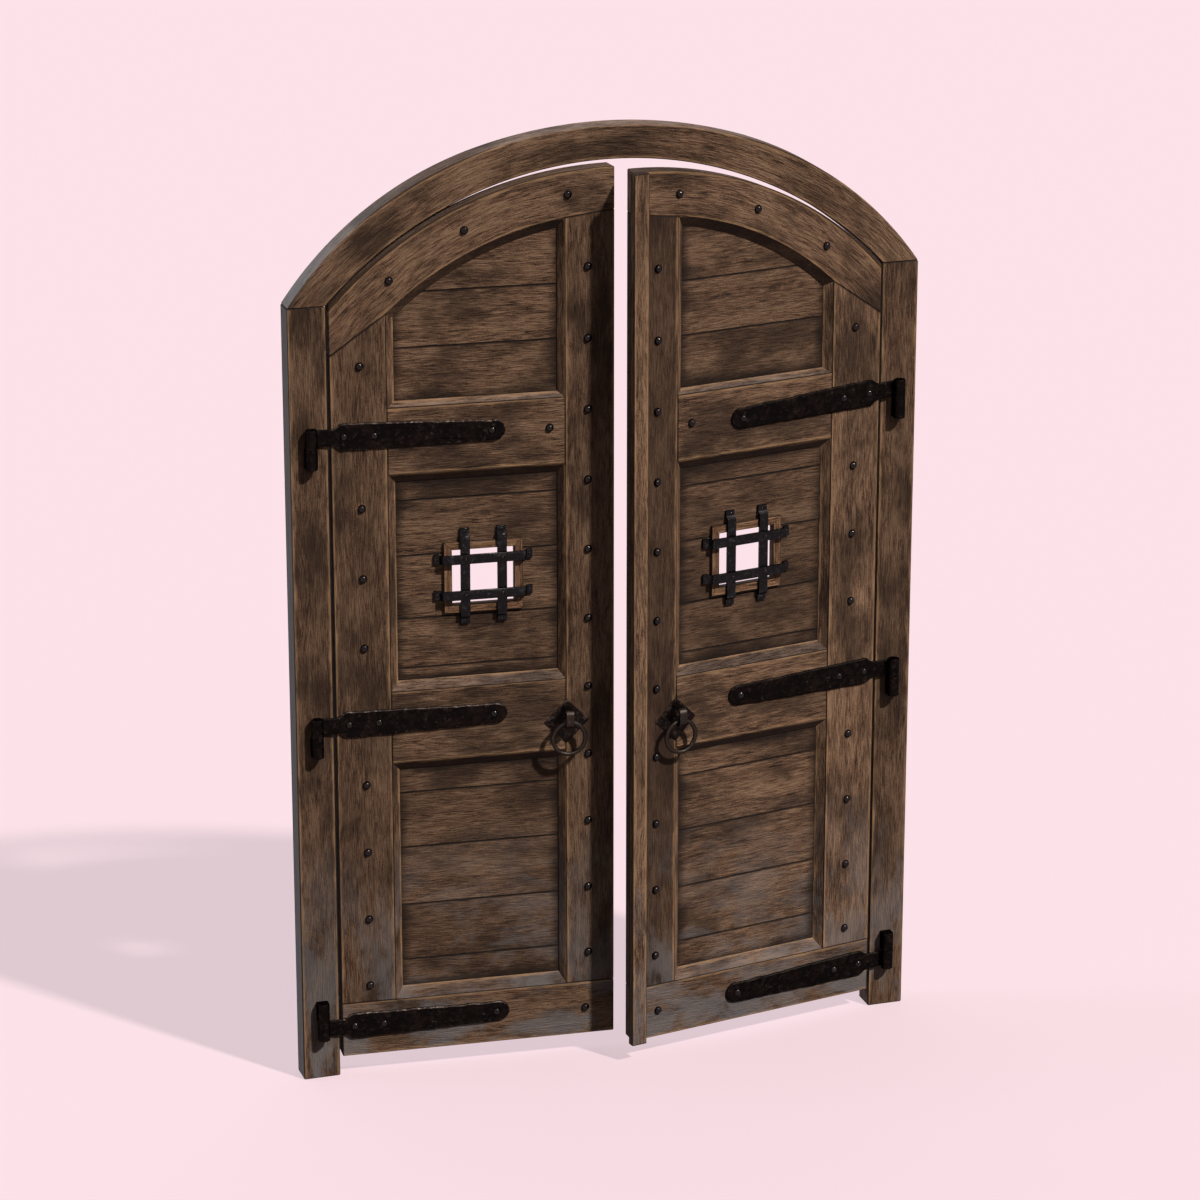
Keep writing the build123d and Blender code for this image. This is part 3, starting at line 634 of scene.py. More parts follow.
@dataclass
class Stance:
    """The straight frame of a leaf or of the door frame, in which its timbers are measured.

    A local point is (across, depth, height): across from the hinge edge towards the meeting
    edge, depth from the front towards the back. The fixed frame uses row coordinates as they are.
    """

    body: str
    side: int = 0
    angle: float = 0.0
    pin: Vector = field(default_factory=Vector)
    hinge_reach: float = 0.0605
    pin_stand_off: float = 0.020

    def world(self, point: Vector) -> Vector:
        """Bring a local point to row coordinates.

        Args:
            point: The local point.

        Returns:
            The point in the row.
        """
        if not self.side:
            return Vector(point)
        turned = Matrix.Rotation(self.side * self.angle, 3, "Z")
        flat = Vector((-self.side * (self.hinge_reach + point.x), self.pin_stand_off + point.y, 0))
        return Vector((self.pin.x, self.pin.y, point.z)) + turned @ flat

    def local(self, point: Vector) -> Vector:
        """Bring a point in row coordinates to the stance's own.

        Args:
            point: The point in the row.

        Returns:
            The local point.
        """
        if not self.side:
            return Vector(point)
        turned = Matrix.Rotation(-self.side * self.angle, 3, "Z")
        flat = turned @ Vector((point.x - self.pin.x, point.y - self.pin.y, 0))
        return Vector((-self.side * flat.x - self.hinge_reach, flat.y - self.pin_stand_off, point.z))

    @classmethod
    def of_leaf(cls, name: str, side: int) -> "Stance":
        """Read a leaf's pin and rest angle from its joint.

        Args:
            name: "left" or "right".
            side: -1 for the left leaf, +1 for the right one.

        Returns:
            The leaf's stance at rest.
        """
        joint = next(j for j in frame["joints"] if j["name"] == f"{name}_leaf_swing")
        angle = math.radians(-joint["range_deg"][0])
        return cls(f"{name}_leaf", side, angle, Vector(joint["pos_m"]))


def islands(bm: Mesh) -> list[list[bmesh.types.BMVert]]:
    """Split a mesh into its connected pieces.

    Args:
        bm: The mesh.

    Returns:
        The vertices of each piece, in a fixed order.
    """
    seen: set[int] = set()
    found = []
    bm.verts.index_update()
    for start in bm.verts:
        if start.index in seen:
            continue
        seen.add(start.index)
        group = [start]
        for vert in group:
            for link in vert.link_edges:
                other = link.other_vert(vert)
                if other.index not in seen:
                    seen.add(other.index)
                    group.append(other)
        found.append(group)
    return found


def extent(points: list[Vector]) -> tuple[Vector, Vector]:
    """Find the box round some points.

    Args:
        points: The points.

    Returns:
        Its lowest and highest corner.
    """
    low = Vector([min(p[i] for p in points) for i in range(3)])
    high = Vector([max(p[i] for p in points) for i in range(3)])
    return low, high


def local_mesh(node: str, stance: Stance) -> Mesh:
    """Copy a CAD node's mesh into a stance's coordinates, welded and with flat faces joined.

    Args:
        node: The node's name.
        stance: The frame in which it is measured.

    Returns:
        The copy, which the caller frees.
    """
    bm = bmesh.new()
    bm.from_mesh(frame["nodes"][node].data)
    bmesh.ops.remove_doubles(bm, verts=bm.verts, dist=WELD)
    for vert in bm.verts:
        vert.co = stance.local(vert.co)
    flat = math.radians(FLAT_TURN)
    bmesh.ops.dissolve_limit(bm, angle_limit=flat, verts=bm.verts, edges=bm.edges)
    return bm


def rim_of(rings: list[Outline]) -> list[Outline]:
    """Join faces and follow the sides that only one of them has.

    Args:
        rings: The corners of each face.

    Returns:
        The closed loops round the joined faces.
    """
    sides: set[tuple[Point, Point]] = set()
    for ring in rings:
        for a, b in zip(ring, ring[1:] + ring[:1]):
            if (b, a) in sides:
                sides.remove((b, a))
            else:
                sides.add((a, b))
    follow = dict(sorted(sides))
    loops = []
    while follow:
        start = min(follow)
        loop = [start]
        while loop[-1] in follow:
            after = follow.pop(loop[-1])
            if after == start:
                break
            loop.append(after)
        loops.append(loop)
    return loops


def breadth(loop: Outline) -> float:
    """Width and height of a loop added up."""
    across, heights = zip(*loop)
    return (max(across) - min(across)) + (max(heights) - min(heights))


def face_outline(node: str, stance: Stance, depth: float) -> Outline:
    """Outer loop of a CAD node's faces that lie at one depth.

    Args:
        node: The node's name.
        stance: The frame in which it is measured.
        depth: Depth of the faces, in metres.

    Returns:
        Corner points, with no three in a straight line.
    """
    mesh = frame["nodes"][node].data
    points = [stance.local(v.co) for v in mesh.vertices]
    rings = [
        [(round(points[i].x, 5), round(points[i].z, 5)) for i in face.vertices]
        for face in mesh.polygons
        if all(abs(points[i].y - depth) < SAME_DEPTH for i in face.vertices)
    ]
    outer = max(rim_of(rings), key=breadth)
    kept = []
    for i, point in enumerate(outer):
        before, after = outer[i - 1], outer[(i + 1) % len(outer)]
        way_in = (point[0] - before[0], point[1] - before[1])
        way_out = (after[0] - point[0], after[1] - point[1])
        bend = way_in[0] * way_out[1] - way_in[1] * way_out[0]
        run = math.dist(before, point) * math.dist(point, after)
        if run and abs(bend) / run > LEAST_BEND:
            kept.append(point)
    return kept


def heights_at(outline: Outline, across: float) -> tuple[float, float]:
    """Measure an outline on one upright line.

    Args:
        outline: The outline.
        across: Where the line stands.

    Returns:
        The outline's lowest and highest height there.
    """
    upright = 1e-9
    found = []
    for a, b in zip(outline, outline[1:] + outline[:1]):
        if min(a[0], b[0]) - upright <= across <= max(a[0], b[0]) + upright:
            if abs(b[0] - a[0]) > upright:
                found.append(a[1] + (across - a[0]) / (b[0] - a[0]) * (b[1] - a[1]))
            else:
                found += [a[1], b[1]]
    return min(found), max(found)


def ray_radius(outline: Outline, centre: Point, angle: float) -> float:
    """Measure from a centre to an outline.

    Args:
        outline: The outline.
        centre: The centre.
        angle: The direction, in radians up from across.

    Returns:
        The largest distance in that direction.
    """
    parallel, slack = 1e-12, 1e-6
    dx, dz = math.cos(angle), math.sin(angle)
    hits = []
    for a, b in zip(outline, outline[1:] + outline[:1]):
        ex, ez = b[0] - a[0], b[1] - a[1]
        under = dx * ez - dz * ex
        if abs(under) < parallel:
            continue
        ax, az = a[0] - centre[0], a[1] - centre[1]
        reach = (ax * ez - az * ex) / under
        share = (ax * dz - az * dx) / under
        if reach > 0 and -slack <= share <= 1 + slack:
            hits.append(reach)
    return max(hits)


def sloping_joint(start: Point, end: Point) -> Callable[[Vector], float]:
    """Measure from a sloping joint.

    Args:
        start: One end of the joint.
        end: Its other end.

    Returns:
        A function that gives a local point's distance from the joint's line.
    """
    length = math.dist(start, end)
    rise, run = (end[1] - start[1]) / length, (end[0] - start[0]) / length
    return lambda point: abs((point.z - start[1]) * run - (point.x - start[0]) * rise)


def block(outline: Outline, front: float, back: float) -> Mesh:
    """Make a straight timber.

    Args:
        outline: Its outline.
        front: Depth of its front.
        back: Depth of its back.

    Returns:
        Its mesh.
    """
    bm = bmesh.new()
    rings = [[bm.verts.new((a, depth, h)) for a, h in outline] for depth in (front, back)]
    bm.faces.new(rings[0])
    bm.faces.new(list(reversed(rings[1])))
    count = len(outline)
    for i in range(count):
        j = (i + 1) % count
        bm.faces.new((rings[0][j], rings[0][i], rings[1][i], rings[1][j]))
    bmesh.ops.recalc_face_normals(bm, faces=bm.faces)
    return bm


def arched_block(pairs: list[tuple[Point, Point]], front: float, back: float) -> Mesh:
    """Make a curved timber.

    Args:
        pairs: Points on its inner and outer curve, from end to end.
        front: Depth of its front.
        back: Depth of its back.

    Returns:
        Its mesh.
    """
    bm = bmesh.new()
    rows = []
    for low, high in pairs:
        corners = ((low, front), (high, front), (high, back), (low, back))
        rows.append([bm.verts.new((a, depth, h)) for (a, h), depth in corners])
    for one, two in zip(rows, rows[1:]):
        for i in range(4):
            j = (i + 1) % 4
            bm.faces.new((one[i], one[j], two[j], two[i]))
    bm.faces.new(rows[0])
    bm.faces.new(list(reversed(rows[-1])))
    bmesh.ops.recalc_face_normals(bm, faces=bm.faces)
    return bm


def long_groups(edges: list[bmesh.types.BMEdge], least: float) -> list[bmesh.types.BMEdge]:
    """Keep the edges that hang together over a longer way than a hole's rim.

    Args:
        edges: The edges.
        least: Corner to corner size of the smallest group that is kept, in metres.

    Returns:
        The kept edges, in a fixed order.
    """
    marked = set(edges)
    kept = []
    while marked:
        group = [marked.pop()]
        for edge in group:
            for vert in edge.verts:
                for other in vert.link_edges:
                    if other in marked:
                        marked.discard(other)
                        group.append(other)
        low, high = extent([v.co for e in group for v in e.verts])
        if (high - low).length > least:
            kept += group
    return sorted(kept, key=lambda e: tuple(round(c, 6) for v in e.verts for c in v.co))


def soften(bm: Mesh, width: float, steepest: float = 40.0, skip_loops: float = 0.0) -> None:
    """Take a flat off a mesh's outward arrises.

    Args:
        bm: The mesh, changed in place.
        width: How far the arris is worn back, in metres.
        steepest: Least turn between two faces that counts as an arris, in degrees.
        skip_loops: Closed rings of arrises smaller than this are holes and stay sharp.
    """
    bm.normal_update()
    least = math.radians(steepest)
    sharp = [
        e for e in bm.edges
        if len(e.link_faces) == 2 and e.is_convex and e.calc_face_angle(0) > least
    ]
    if skip_loops:
        sharp = long_groups(sharp, skip_loops)
    bmesh.ops.bevel(bm, geom=sharp, offset=width, segments=1, affect="EDGES", clamp_overlap=True)


@dataclass
class Lay:
    """How a timber lies in its stance, and how dark it is, from 0 to 1.

    An arched timber has the centre of its curve, its mid radius and half width. Boards have the
    sight size of their panel: across and height of its middle, half its width and half its
    height. A timber with a sloping joint has the distance of a point from it.
    """

    grain: Grain
    shade: float = 0.3
    shade_luck: float = 0.12
    centre: Point | None = None
    halves: tuple[float, float] | None = None
    panel: tuple[float, float, float, float] | None = None
    joint: Callable[[Vector], float] | None = None

    def store(self, bm: Mesh, name: str) -> None:
        """Store on a mesh's points where they lie in their own timber.

        Args:
            bm: The mesh in local coordinates, of one timber or more.
            name: The piece's name, which settles each timber's own figure.
        """
        luck = random.Random(name)
        layers = [bm.verts.layers.float_vector.new(n) for n in MEASURES]
        tint = bm.verts.layers.float.new("shade")
        for group in islands(bm):
            low, high = extent([v.co for v in group])
            middle, half = (low + high) / 2, (high - low) / 2
            seed = luck.random()
            own_luck = luck.uniform(-self.shade_luck, self.shade_luck) * (self.grain is Grain.LEVEL)
            own_shade = min(1.0, max(0.0, self.shade + own_luck))
            upright = self.grain is Grain.UPRIGHT or (self.grain is Grain.LEVEL and half.z > half.x)
            for vert in group:
                vert[tint] = own_shade
                for layer, value in zip(layers, self.measures(vert.co, middle, half, upright, seed)):
                    vert[layer] = value

    def measures(
        self, point: Vector, middle: Vector, half: Vector, upright: bool, seed: float
    ) -> tuple[tuple[float, float, float], ...]:
        """Measure one point.

        Args:
            point: The point.
            middle: Middle of its timber.
            half: Half its timber's size.
            upright: Whether the fibres of a straight timber run upright.
            seed: Its timber's own figure.

        Returns:
            The values in the order of MEASURES.
        """
        away = point - middle
        if self.centre:
            out = (point.x - self.centre[0], point.z - self.centre[1])
            mid, half_width = self.halves
            lies = (math.atan2(*out) * mid, math.hypot(*out) - mid, away.y)
            sizes = (ENDLESS, half_width, half.y)
        elif upright:
            lies, sizes = (away.z, away.x, away.y), (half.z, half.x, half.y)
        else:
            lies, sizes = (away.x, away.z, away.y), (half.x, half.z, half.y)
        if self.panel:
            across, height, half_across, half_height = self.panel
            return lies, sizes, (point.x - across, point.z - height, seed), (half_across, half_height, FAR)
        return lies, sizes, (0, 0, seed), (FAR, FAR, self.joint(point) if self.joint else FAR)


@dataclass
class Shop:
    """The workshop: turns a mesh in a stance's coordinates into a finished, riding piece."""

    materials: dict[str, bpy.types.Material] = field(default_factory=dict)
    smooth_below: float = 38.0

    def finish(self, finish: OakFinish | IronFinish | StudioFinish) -> bpy.types.Material:
        """Give a finish's material, made once.

        Args:
            finish: The finish.

        Returns:
            The material.
        """
        if finish.name not in self.materials:
            self.materials[finish.name] = finish.build()
        return self.materials[finish.name]

    def stand(
        self, name: str, bm: Mesh, stance: Stance, slot: str, node: str,
        finishes: list[IronFinish | OakFinish]
    ) -> None:
        """Stand a mesh in its stance, dress it and let it ride in place of a CAD node.

        Args:
            name: The piece's name.
            bm: The mesh in local coordinates, freed here.
            stance: Where it stands and what it rides on.
            slot: The record's material slot; not used.
            node: The CAD node that it replaces.
            finishes: Its materials, in the order of the faces' numbers.
        """
        for vert in bm.verts:
            vert.co = stance.world(vert.co)
        bmesh.ops.recalc_face_normals(bm, faces=bm.faces)
        for edge in bm.edges:
            edge.smooth = edge.is_manifold and edge.calc_face_angle(0) < math.radians(self.smooth_below)
        for face in bm.faces:
            face.smooth = True
        mesh = bpy.data.meshes.new(name)
        bm.to_mesh(mesh)
        bm.free()
        for one in finishes:
            mesh.materials.append(self.finish(one))
        piece = put(name, mesh)
        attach(piece, stance.body)
        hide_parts(node)
        LOG.info("%s: %d faces, stands for %s", name, len(mesh.polygons), node)

    def timber(
        self, name: str, bm: Mesh, stance: Stance, slot: str, node: str,
        finishes: list[OakFinish], lay: Lay
    ) -> None:
        """Stand and dress a wooden piece.

        Args:
            name: The piece's name.
            bm: The mesh in local coordinates.
            stance: Where it stands.
            slot: The record's material slot.
            node: The CAD node that it replaces.
            finishes: Its oak, and the oak of its faces numbered 1.
            lay: How it lies there.
        """
        lay.store(bm, name)
        self.stand(name, bm, stance, slot, node, finishes)

    def dress_node(self, node: str, finish: IronFinish) -> None:
        """Give a CAD node whose shape is right its material.

        Args:
            node: The node's name.
            finish: Its finish.
        """
        thing = frame["nodes"][node]
        thing.data.materials.clear()
        thing.data.materials.append(self.finish(finish))
        LOG.info("%s: CAD shape kept, finish %s", node, finish.name)


FRAME_OAK = OakFinish("frame_old_oak")
LEAF_OAK = OakFinish("leaf_old_oak")
# Nobody rubs the sunk boards, and their joints gather more grime.
BOARD_OAK = OakFinish("board_old_oak", wear_amount=0.0, seam_width=2.6)
# Only the inner arris of a moulding is pale, and dust lies on its slope.
MOULDING_OAK = OakFinish(
    "moulding_old_oak", wear=Wear.INNER, wear_width=8.0, wear_amount=0.6, seam_width=1.0, dust_amount=0.34
)
# Newer oak round the windows, redder and hardly stained.
TRIM_OAK = OakFinish(
    "trim_old_oak", body="#6a4d3a", light="#94745a", stain_amount=0.3, wear_width=6.0
)
# Hands and the other leaf rub the cover strip paler than the rest.
STRIP_OAK = OakFinish(
    "strip_old_oak", light="#8d735c", stain_amount=0.4, wear_width=11.0, wear_amount=0.8
)
# Lime from the wall greys the sides that face it.
WALL_OAK = OakFinish("wall_side_old_oak", silver="#817f7e", side_silver=0.9, wear_amount=0.2)
FORGED_IRON = IronFinish("forged_iron")
# Arrises rubbed until the grey iron shows.
WORN_AND_HIGHLIT_IRON = IronFinish(
    "worn_iron_painted_highlight", black="#171311", rust="#2a211c", scale="#665d56", flecks_and_glints_from=0.52, wax=0.15,
    hammer=0.002
)
# Drawn smoother than the straps, and bluish from its scale, whose flecks are also painted glints.
BAR_IRON = IronFinish(
    "bar_forged_iron", black="#0a0a0b", rust="#131314", scale="#373b3e", flecks_and_glints_from=0.56, wax=0.25,
    wax_roughness=0.25
)
# Nail heads keep most of their wax, which gives each a small sharp light.
NAIL_IRON = IronFinish(
    "nail_iron", black="#0a0808", rust="#15100d", scale="#3a332f", roughness=(0.26, 0.42), wax=0.4,
    wax_roughness=0.15, hammer=0.002
)
# Hands keep the rings and staples paler and smoother.
HANDLED_IRON = IronFinish(
    "handled_iron", black="#282622", rust="#2f261f", scale="#4f4a42", roughness=(0.35, 0.55), wax=0.12,
    hammer=0.003
)
# Close hammer marks with grey crests all over the ring plates: scale, and painted glints.
PLATE_IRON = IronFinish(
    "hammered_plate_iron", black="#161311", rust="#221a15", scale="#4b433d", flecks_and_glints_from=0.53,
    hammer=0.004
)


# How dark each timber of a leaf is, the boards under the name of their panel.
SHADES = {
    "left": {
        "hinge_stile": 0.5, "meeting_stile": 0.5, "bottom_rail": 0.35, "lock_rail": 0.05,
        "upper_rail": 0.2, "arched_rail": 0.0, "upper": 0.15, "middle": 0.3, "lower": 0.45,
    },
    "right": {
        "hinge_stile": 0.0, "meeting_stile": 0.95, "bottom_rail": 0.45, "lock_rail": 0.1,
        "upper_rail": 0.2, "arched_rail": 0.15, "upper": 0.25, "middle": 0.5, "lower": 0.2,
    },
}


@dataclass
class DoorFrame:
    """Two oak posts under an arched head, with the pintles that carry the leaves.

    Lime greys the faces whose direction has more than post_outward or head_outward of outwards
    in it, where 1 is straight out. Sizes are in metres.
    """

    shop: Shop
    stance: Stance
    depth: float = 0.078
    arris: float = 0.003
    steps: int = 96
    head_half_width: float = 0.053
    opening_reach: float = 0.9
    post_outward: float = 0.8
    head_outward: float = 0.75
    shades: dict[str, float] = field(default_factory=lambda: {"left": 0.55, "right": 0.5, "head": 0.2})

    def build(self) -> None:
        """Make and dress the posts, the head and the pintles."""
        self.posts()
        self.head()
        pintles = [f"{side}_{level}_pintle" for side in SIDES for level in ("top", "middle", "bottom")]
        for node in (*pintles, "pintle_washers", "pintle_nuts"):
            self.shop.dress_node(node, FORGED_IRON)

    def posts(self) -> None:
        """Straight posts with rubbed arrises."""
        for side, outward in SIDES.items():
            low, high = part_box(f"{side}_post")
            outline = [(low.x, low.z), (high.x, low.z), (high.x, high.z), (low.x, high.z)]
            bm = block(outline, low.y, high.y)
            soften(bm, self.arris)
            bm.normal_update()
            for face in bm.faces:
                face.material_index = int(face.normal.x * outward > self.post_outward)
            lay = Lay(Grain.UPRIGHT, self.shades[side])
            self.timber(f"{side}_door_post", bm, f"{side}_post", lay)

    def head(self) -> None:
        """The arched head, its fibres bent round with it."""
        outline = face_outline("arched_head", self.stance, self.depth)
        springing = min(height for _, height in outline)
        feet = [across for across, height in outline if abs(height - springing) < SLACK]
        inner = max(across for across in feet if across < self.opening_reach)
        outer = max(feet)
        crown = heights_at(outline, 0.0)[0]
        rise = crown - springing
        centre = (0.0, crown - (inner**2 + rise**2) / (2 * rise))
        drop = springing - centre[1]
        radius_in = math.hypot(inner, drop)
        start_in, start_out = math.atan2(drop, inner), math.atan2(drop, outer)
        first, last = start_out + INSIDE_ANGLE, math.pi - start_out - INSIDE_ANGLE
        pairs = []
        for i in range(self.steps + 1):
            share = i / self.steps
            angle_in = start_in + share * (math.pi - 2 * start_in)
            angle_out = start_out + share * (math.pi - 2 * start_out)
            radius_out = ray_radius(outline, centre, min(max(angle_out, first), last))
            arms = ((radius_in, angle_in), (radius_out, angle_out))
            pairs.append(tuple(
                (centre[0] + radius * math.cos(angle), centre[1] + radius * math.sin(angle))
                for radius, angle in arms
            ))
        bm = arched_block(pairs, 0.0, self.depth)
        soften(bm, self.arris)
        bm.normal_update()
        for face in bm.faces:
            at = face.calc_center_median()
            away = Vector((at.x - centre[0], 0, at.z - centre[1])).normalized()
            face.material_index = int(face.normal.dot(away) > self.head_outward)
        halves = (radius_in + self.head_half_width, self.head_half_width)
        lay = Lay(Grain.ARCHED, self.shades["head"], centre=centre, halves=halves)
        self.timber("arched_door_head", bm, "arched_head", lay)

    def timber(self, name: str, bm: Mesh, node: str, lay: Lay) -> None:
        """Hand one of the frame's timbers to the shop."""
        self.shop.timber(name, bm, self.stance, "frame_oak", node, [FRAME_OAK, WALL_OAK], lay)


@dataclass(frozen=True)
class NailHead:
    """One kind of forged nail head, each hammered a little differently.

    It is wider than its solid by spread. A head up to small_radius stands out small_height only.
    The collar goes into the wood. Sizes are in metres.
    """

    part: str
    height: float
    spread: float = 1.0
    small_radius: float = 0.005
    small_height: float = 0.002
    collar: float = 0.002
    around: int = 16
    levels: int = 5
    dent: float = 0.07
    dents_per_metre: float = 160.0
    top: float = 0.97

    def forge(self, solids: Mesh, luck: random.Random) -> Mesh:
        """Forge a head for each of the CAD's.

        Args:
            solids: The CAD's heads in local coordinates.
            luck: Source of the dents.

        Returns:
            The mesh of all heads.
        """
        bm = bmesh.new()
        for group in islands(solids):
            low, high = extent([v.co for v in group])
            radius = (high.x - low.x) / 2 * self.spread
            height = self.height if radius > self.small_radius else self.small_height
            base = Vector(((low.x + high.x) / 2, low.y + height, (low.z + high.z) / 2))
            self.dome(bm, base, radius, height, luck)
        return bm

    def dome(
        self, bm: Mesh, base: Vector, radius: float, height: float, luck: random.Random
    ) -> None:
        """Add one hammered dome.

        Args:
            bm: The mesh that gets it.
            base: Middle of its flat back.
            radius: Its radius.
            height: How far it stands out.
            luck: Source of its dents.
        """
        sphere = (radius**2 + height**2) / (2 * height)
        widest = math.asin(min(1.0, radius / sphere))
        offset = Vector([luck.uniform(-50, 50) for _ in range(3)])
        rings = []
        for level in range(self.levels):
            angle = widest * (1 - level / self.levels)
            out = sphere * math.sin(angle)
            rise = sphere * math.cos(angle) - (sphere - height)
            ring = []
            for i in range(self.around):
                turn = math.tau * i / self.around
                point = Vector((out * math.cos(turn), -rise, out * math.sin(turn)))
                hit = 0.5 + 0.5 * noise.noise(point * self.dents_per_metre + offset)
                ring.append(bm.verts.new(base + point * (1 - self.dent * hit)))
            rings.append(ring)
        rings.insert(0, [bm.verts.new(v.co + Vector((0, self.collar, 0))) for v in rings[0]])
        top = bm.verts.new(base + Vector((0, -height * self.top, 0)))
        for one, two in zip(rings, rings[1:]):
            for i in range(self.around):
                j = (i + 1) % self.around
                bm.faces.new((one[i], one[j], two[j], two[i]))
        for i in range(self.around):
            bm.faces.new((rings[-1][i], rings[-1][(i + 1) % self.around], top))
        bm.faces.new(list(reversed(rings[0])))


# The rivets of the straps spread under the hammer.
NAIL_HEADS = (
    NailHead("studs", 0.011),
    NailHead("strap_rivets", 0.007, spread=1.15),
    NailHead("grille_rivets", 0.0045),
)


@dataclass
class Hammering:
    """How the long edges of a strap waver, as the hammer left them. Sizes are in metres."""

    spacing: float = 0.012
    swell: float = 0.0026
    eye_end: float = -0.03
    steady_until: float = -0.02
    settle: float = 0.05
    most_cuts: int = 40
    marks_per_metre: tuple[float, float] = (45, 12)
    layer: float = 3.7

    def work(self, bm: Mesh) -> None:
        """Divide the long edges and let them wander, but not at the eye.

        Args:
            bm: The strap's mesh, changed in place.
        """
        long_edges = [
            e for e in bm.edges
            if e.calc_length() > 2 * self.spacing and min(v.co.x for v in e.verts) > self.eye_end
        ]
        for cuts in range(2, self.most_cuts):
            group = [e for e in long_edges if e.is_valid and int(e.calc_length() / self.spacing) == cuts]
            if group:
                bmesh.ops.subdivide_edges(bm, edges=group, cuts=cuts - 1)
        along, up = self.marks_per_metre
        for vert in bm.verts:
            share = min(1.0, max(0.0, (vert.co.x - self.steady_until) / self.settle))
            drift = noise.noise(Vector((vert.co.x * along, vert.co.z * up, self.layer)))
            vert.co.z += share * self.swell * drift


@dataclass
class DoorLeaf:
    """One leaf: framed oak with sunk boards, a barred window, straps, studs and a ring handle.

    Mouldings are as wide as insets at their hinge, meeting and head side, and as foot_insets at
    their foot. The face of a plate is an arris, rubbed bright and painted with a highlight, where
    the forward part of its direction lies between the two highlight_slopes. Sizes are in metres.
    """

    shop: Shop
    name: str
    stance: Stance
    shades: dict[str, float]
    arris: float = 0.0022
    trim_arris: float = 0.0015
    bar_arris: float = 0.0014
    rivet_hole: float = 0.02
    thickness: float = 0.060
    bevel_back: float = 0.009
    width: float = 0.852
    centre_gap: float = 0.0065
    springing_low: float = 2.2
    stile_width: float = 0.1675
    meeting_width: float = 0.149
    insets: tuple[float, float, float] = (0.025, 0.021, 0.028)
    rail_radius: float = 1.020
    rail_width: float = 0.1335
    rail_steps: int = 40
    toe_inside: float = 1e-4
    neck_clear: float = 0.0008
    highlight_slopes: tuple[float, float] = (0.3, 0.95)
    highlight_start: float = 0.004
    hammering: Hammering = field(default_factory=Hammering)
    foot_insets: dict[str, float] = field(
        default_factory=lambda: {"lower": 0.035, "middle": 0.028, "upper": 0.015}
    )

    def build(self) -> None:
        """Make and dress everything that swings with the leaf."""
        self.framing()
        self.arched_rail()
        self.panels()
        self.window()
        self.ironwork()
        self.nails()

    def node(self, part: str) -> str:
        """Full name of one of the leaf's CAD nodes."""
        return f"{self.name}_leaf_{part}"

    def timber(
        self, part: str, bm: Mesh, lay: Lay, oak: OakFinish = LEAF_OAK, slot: str = "leaf_oak"
    ) -> None:
        """Hand one of the leaf's timbers to the shop."""
        piece = f"{self.name}_{part}_oak"
        self.shop.timber(piece, bm, self.stance, slot, self.node(part), [oak], lay)

    def iron(
        self, part: str, bm: Mesh, *finishes: IronFinish, slot: str = "forged_iron"
    ) -> None:
        """Hand one of the leaf's iron pieces to the shop."""
        piece = f"{self.name}_{part}_iron"
        self.shop.stand(piece, bm, self.stance, slot, self.node(part), list(finishes))

    def framing(self) -> None:
        """Stiles and level rails, their meeting edge sloped back."""
        for part in ("hinge_stile", "meeting_stile", "bottom_rail", "lock_rail", "upper_rail"):
            bm = block(face_outline(self.node(part), self.stance, 0.0), 0.0, self.thickness)
            self.slope_meeting_edge(bm)
            lay = Lay(Grain.LEVEL, self.shades[part])
            if "stile" in part:
                front = [(v.co.x, v.co.z) for v in bm.verts if v.co.y < SLACK]
                top = sorted(point for point in front if point[1] > self.springing_low)
                lay = Lay(Grain.UPRIGHT, self.shades[part], joint=sloping_joint(top[0], top[-1]))
            soften(bm, self.arris)
            self.timber(part, bm, lay)

    def slope_meeting_edge(self, bm: Mesh) -> None:
        """Move the back of the meeting edge in."""
        for vert in bm.verts:
            if vert.co.x > self.width - SLACK and vert.co.y > SLACK:
                vert.co.x -= self.bevel_back

    def arched_rail(self) -> None:
        """The curved top rail, its fibres bent round with it."""
        outline = face_outline(self.node("arched_rail"), self.stance, 0.0)
        toe = self.width - self.meeting_width
        steps = {self.width * i / self.rail_steps for i in range(self.rail_steps + 1)}
        sections = {
            across: heights_at(outline, min(max(across, INSIDE), self.width - INSIDE))
            for across in sorted({0.0, self.stile_width, toe, self.width} | steps)
        }
        pairs = [((across, low), (across, high)) for across, (low, high) in sections.items()]
        bm = arched_block(pairs, 0.0, self.thickness)
        self.slope_meeting_edge(bm)
        soften(bm, self.arris)
        lows = [(across, sections[across][0]) for across in (0.0, self.stile_width, toe, self.width)]
        near, far = sloping_joint(*lows[:2]), sloping_joint(*lows[2:])

        def joint(point: Vector) -> float:
            """Distance to the sloping joint at the point's end of the rail."""
            if point.x < self.stile_width + SLACK:
                return near(point)
            return far(point) if point.x > toe - SLACK else FAR

        door_middle = self.width + self.centre_gap
        drop = math.sqrt(self.rail_radius**2 - (door_middle - self.width + self.meeting_width) ** 2)
        centre = (door_middle, heights_at(outline, toe - self.toe_inside)[0] - drop)
        halves = (self.rail_radius + self.rail_width / 2, self.rail_width / 2)
        lay = Lay(Grain.ARCHED, self.shades["arched_rail"], centre=centre, halves=halves, joint=joint)
        self.timber("arched_rail", bm, lay)

